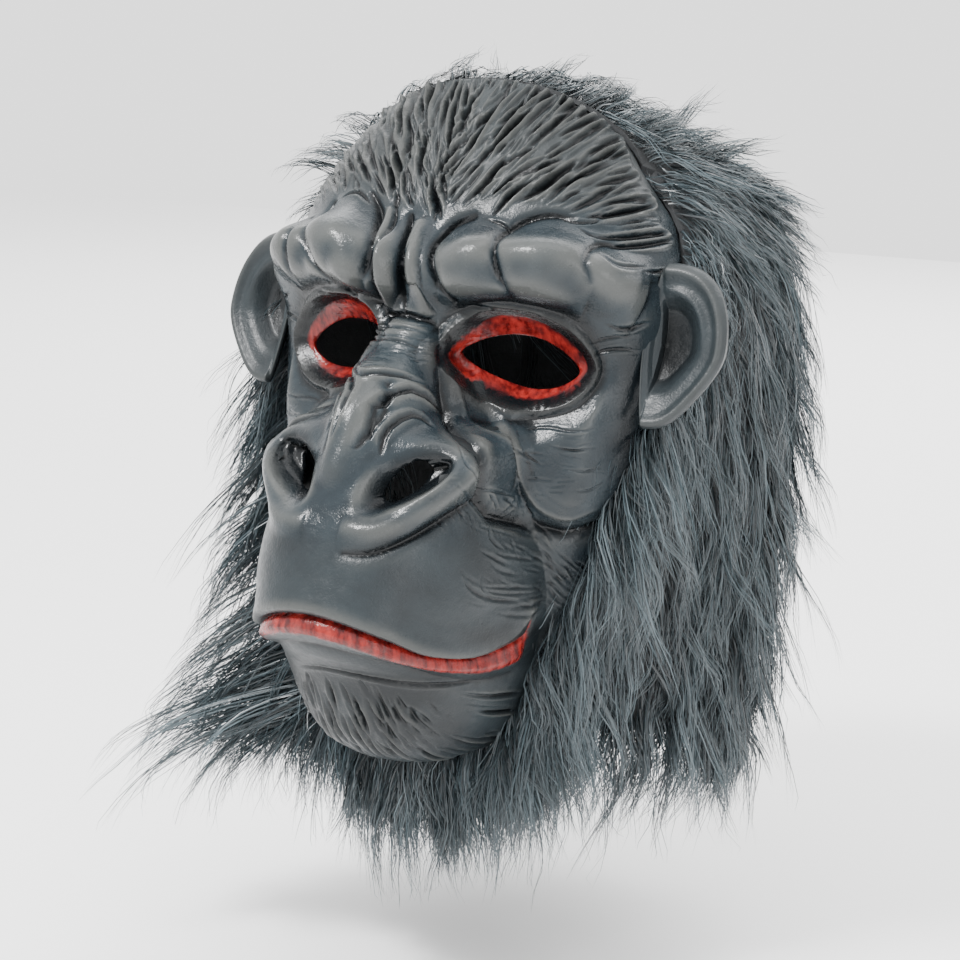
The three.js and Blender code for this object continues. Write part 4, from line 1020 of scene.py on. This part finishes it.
def number(tree, operation, a, b=0.0, c=0.0, clamp=False):
    nd = tree.nodes.new("ShaderNodeMath")
    nd.operation = operation
    nd.use_clamp = clamp
    for socket, value in zip(nd.inputs, (a, b, c)):
        if hasattr(value, "links"):
            tree.links.new(value, socket)
        else:
            socket.default_value = value
    return nd.outputs[0]


def noise(tree, scale, detail=4.0, stretch=(1, 1, 1), rough=0.55):
    where = tree.nodes.new("ShaderNodeTexCoord")
    scaled = tree.nodes.new("ShaderNodeMapping")
    scaled.inputs["Scale"].default_value = [v * 0.001 / MM for v in stretch]
    nd = tree.nodes.new("ShaderNodeTexNoise")
    nd.inputs["Scale"].default_value = scale
    nd.inputs["Detail"].default_value = detail
    nd.inputs["Roughness"].default_value = rough
    tree.links.new(where.outputs["Object"], scaled.inputs[0])
    tree.links.new(scaled.outputs[0], nd.inputs["Vector"])
    return nd.outputs["Fac"]


def split_paint(tree):
    paint = tree.nodes.new("ShaderNodeAttribute")
    paint.attribute_name = "paint"
    parts = tree.nodes.new("ShaderNodeSeparateColor")
    tree.links.new(paint.outputs["Color"], parts.inputs[0])
    return parts.outputs[0], parts.outputs[1], parts.outputs[2], paint.outputs["Alpha"]


def bump(tree, shader, height, strength, distance):
    nd = tree.nodes.new("ShaderNodeBump")
    nd.inputs["Strength"].default_value = strength
    nd.inputs["Distance"].default_value = distance * MM
    tree.links.new(height, nd.inputs["Height"])
    tree.links.new(nd.outputs[0], shader.inputs["Normal"])


# Colours, linear
BLUE_GREY, PALE_GREY = (0.0045, 0.008, 0.011, 1), (0.020, 0.028, 0.033, 1)
# the pale ridge grey is dry-brushed paint that also serves as a painted highlight; the glaze black is black glaze
# and painted shade in creases and hollows
DRY_BRUSH_AND_HIGHLIGHT, MATTE_GREY, GLAZE_AND_SHADE_BLACK = (0.075, 0.077, 0.073, 1), (0.018, 0.0195, 0.0185, 1), (0.0025, 0.003, 0.0036, 1)
DARK_RED, BRIGHT_RED = (0.06, 0.003, 0.003, 1), (0.24, 0.018, 0.014, 1)
FUR_DARK, FUR_LIGHT, FUR_TIP = (0.003, 0.005, 0.0065, 1), (0.080, 0.112, 0.126, 1), (0.062, 0.084, 0.094, 1)
KNIT_DARK, KNIT_LIGHT = (0.012, 0.013, 0.014, 1), (0.030, 0.032, 0.034, 1)


def latex_material():
    mat, tree, shader = new_material("painted_latex")
    is_red, is_gloss, is_ridge_paint_and_highlight, is_glaze_and_shade = split_paint(tree)
    patchy = noise(tree, 45, 5)
    fine_noise = noise(tree, 420, 4)
    grey = mixed(tree, number(tree, "MULTIPLY_ADD", patchy, 2.2, -0.6, clamp=True), BLUE_GREY, PALE_GREY)
    # raised ridges lighter: dry-brushed paint that also serves as a painted highlight
    dry_brush_and_highlight = mixed(tree, number(tree, "MULTIPLY", is_ridge_paint_and_highlight, 0.7), grey, DRY_BRUSH_AND_HIGHLIGHT)
    matte = mixed(tree, number(tree, "MULTIPLY_ADD", is_gloss, -0.5, 0.5, clamp=True), dry_brush_and_highlight, MATTE_GREY)
    # creases, hollows and the bands under brow and lip go black: black glaze and painted shade
    deep = mixed(tree, number(tree, "MULTIPLY", is_glaze_and_shade, 0.93), matte, GLAZE_AND_SHADE_BLACK)
    streaks = noise(tree, 260, 3, (1.6, 1.6, 0.16))
    red_tone = mixed(tree, number(tree, "MULTIPLY_ADD", streaks, 3.4, -1.25, clamp=True), DARK_RED, BRIGHT_RED)
    worn = number(tree, "MULTIPLY_ADD", noise(tree, 150, 4), 4.0, -1.15, clamp=True)
    red_share = number(tree, "MULTIPLY", is_red, number(tree, "MULTIPLY_ADD", worn, 0.5, 0.5))
    colour = mixed(tree, red_share, deep, red_tone)
    tree.links.new(colour, shader.inputs["Base Color"])
    rough = number(tree, "MULTIPLY_ADD", is_gloss, -0.23, 0.46)
    rough = number(tree, "MULTIPLY_ADD", number(tree, "SUBTRACT", fine_noise, 0.5), 0.35, rough)
    rough = number(tree, "MULTIPLY_ADD", is_red, -0.10, rough)
    tree.links.new(rough, shader.inputs["Roughness"])
    shader.inputs["Specular IOR Level"].default_value = 0.26
    height = number(tree, "MULTIPLY_ADD", fine_noise, 0.6, number(tree, "MULTIPLY", noise(tree, 1300, 2), 0.4))
    bump(tree, shader, height, 0.6, 0.45)
    return mat


def fur_material():
    mat, tree, shader = new_material("long_fur")
    tone, place, _, _ = split_paint(tree)
    # the tone channel comes darkened towards the root: painted shade
    dark = mixed(tree, tone, FUR_DARK, FUR_LIGHT)
    tip = mixed(tree, number(tree, "MULTIPLY", place, 0.4), dark, FUR_TIP)
    tree.links.new(tip, shader.inputs["Base Color"])
    shader.inputs["Roughness"].default_value = 0.36
    shader.inputs["Specular IOR Level"].default_value = 0.5
    return mat


def fabric_material():
    mat, tree, shader = new_material("knitted_backing")
    knit = noise(tree, 900, 2)
    tree.links.new(mixed(tree, knit, KNIT_DARK, KNIT_LIGHT), shader.inputs["Base Color"])
    shader.inputs["Roughness"].default_value = 0.95
    bump(tree, shader, knit, 0.5, 0.4)
    return mat


# Build the pieces
latex, strands, fabric = latex_material(), fur_material(), fabric_material()
face = face_piece()
thin_out(face, 180000)
face.data.materials.append(latex)
for side in (1, -1):
    ear_piece(side).data.materials.append(latex)

s, r = scatter(0.54, 1.0, -1, 1, 6.4)
crown = fur("strands_crown", "fur_crown", [hood_patch(s, r, "crown")], 26, 1.3)
left = side_fur("left", 1)
right = side_fur("right", -1)
s, r = scatter(0.0, 0.58, -0.42, 0.42, 7.5)
back_patches = [hood_patch(s, r, "back"), hood_patch(*scatter(0.0, HEM, -0.42, 0.42, 5), "back")]
back = fur("strands_back", "fur_back", back_patches, 22, 1.15, 150000)
chin = chin_fur()
for ob in (crown, left, right, back, chin):
    ob.data.materials.append(strands)
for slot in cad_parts["hood_backing"].material_slots:
    slot.material = fabric

# Floor, light and camera
FLOOR = box_lo[2] - 45
FLOOR_HALF = 4000
floor = bpy.data.meshes.new("floor")
w = FLOOR_HALF * MM
corners = [(x * w, y * w, FLOOR * MM) for x, y in ((-1, -1), (1, -1), (1, 1), (-1, 1))]
floor.from_pydata(corners, [], [(0, 1, 2, 3)])
ground = bpy.data.objects.new("floor", floor)
bpy.context.scene.collection.objects.link(ground)
pale, tree, shader = new_material("pale_floor")
shader.inputs["Base Color"].default_value = (0.93, 0.93, 0.93, 1)
shader.inputs["Roughness"].default_value = 0.9
floor.materials.append(pale)

world = bpy.data.worlds.new("studio")
bpy.context.scene.world = world
world.use_nodes = True
world.node_tree.nodes["Background"].inputs[0].default_value = (1, 1, 1, 1)
world.node_tree.nodes["Background"].inputs[1].default_value = 2.0


def soft_light(name, at, aim, size, watts):
    data = bpy.data.lights.new(name, "AREA")
    data.shape = "RECTANGLE"
    data.size, data.size_y = size[0] * MM, size[1] * MM
    data.energy = watts * (MM * 1000) ** 2
    ob = bpy.data.objects.new(name, data)
    bpy.context.scene.collection.objects.link(ob)
    z = unit(np.array(at, float) - np.array(aim, float))
    x = unit(np.cross([0, 0, 1.0], z))
    y = np.cross(z, x)
    set_matrix(ob, x, y, z, np.array(at, float))


def set_matrix(ob, x, y, z, at):
    rows = np.eye(4)
    rows[:3] = np.stack([x, y, z, at * MM], 1)
    ob.matrix_world = Matrix(rows.tolist())


AIM = (0, -60, -130)
soft_light("key", (-250, -800, 850), AIM, (300, 220), 30)
soft_light("top", (150, -150, 950), AIM, (700, 500), 3)
soft_light("fill", (1100, -600, 150), AIM, (500, 700), 4)
soft_light("backdrop", (0, 2000, 1500), (0, 2001, -300), (3400, 2600), 110)

# The camera, as the mask is seen in the picture
AZ, EL, ROLL, AWAY = math.radians(29), math.radians(10), math.radians(2.5), 850
back_axis = np.array([math.sin(AZ) * math.cos(EL), -math.cos(AZ) * math.cos(EL), math.sin(EL)])
R = np.array([math.cos(AZ), math.sin(AZ), 0])
U = np.cross(back_axis, R)
right_axis = math.cos(ROLL) * R + math.sin(ROLL) * U
up_axis = -math.sin(ROLL) * R + math.cos(ROLL) * U
camera_data = bpy.data.cameras.new("camera")
camera_data.lens = 83.9
camera_data.sensor_width = 36
camera_data.clip_start, camera_data.clip_end = 0.05, 20
camera = bpy.data.objects.new("camera", camera_data)
bpy.context.scene.collection.objects.link(camera)
set_matrix(camera, right_axis, up_axis, back_axis, np.array(AIM, float) + back_axis * AWAY)
bpy.context.scene.camera = camera

bpy.context.view_layer.update()
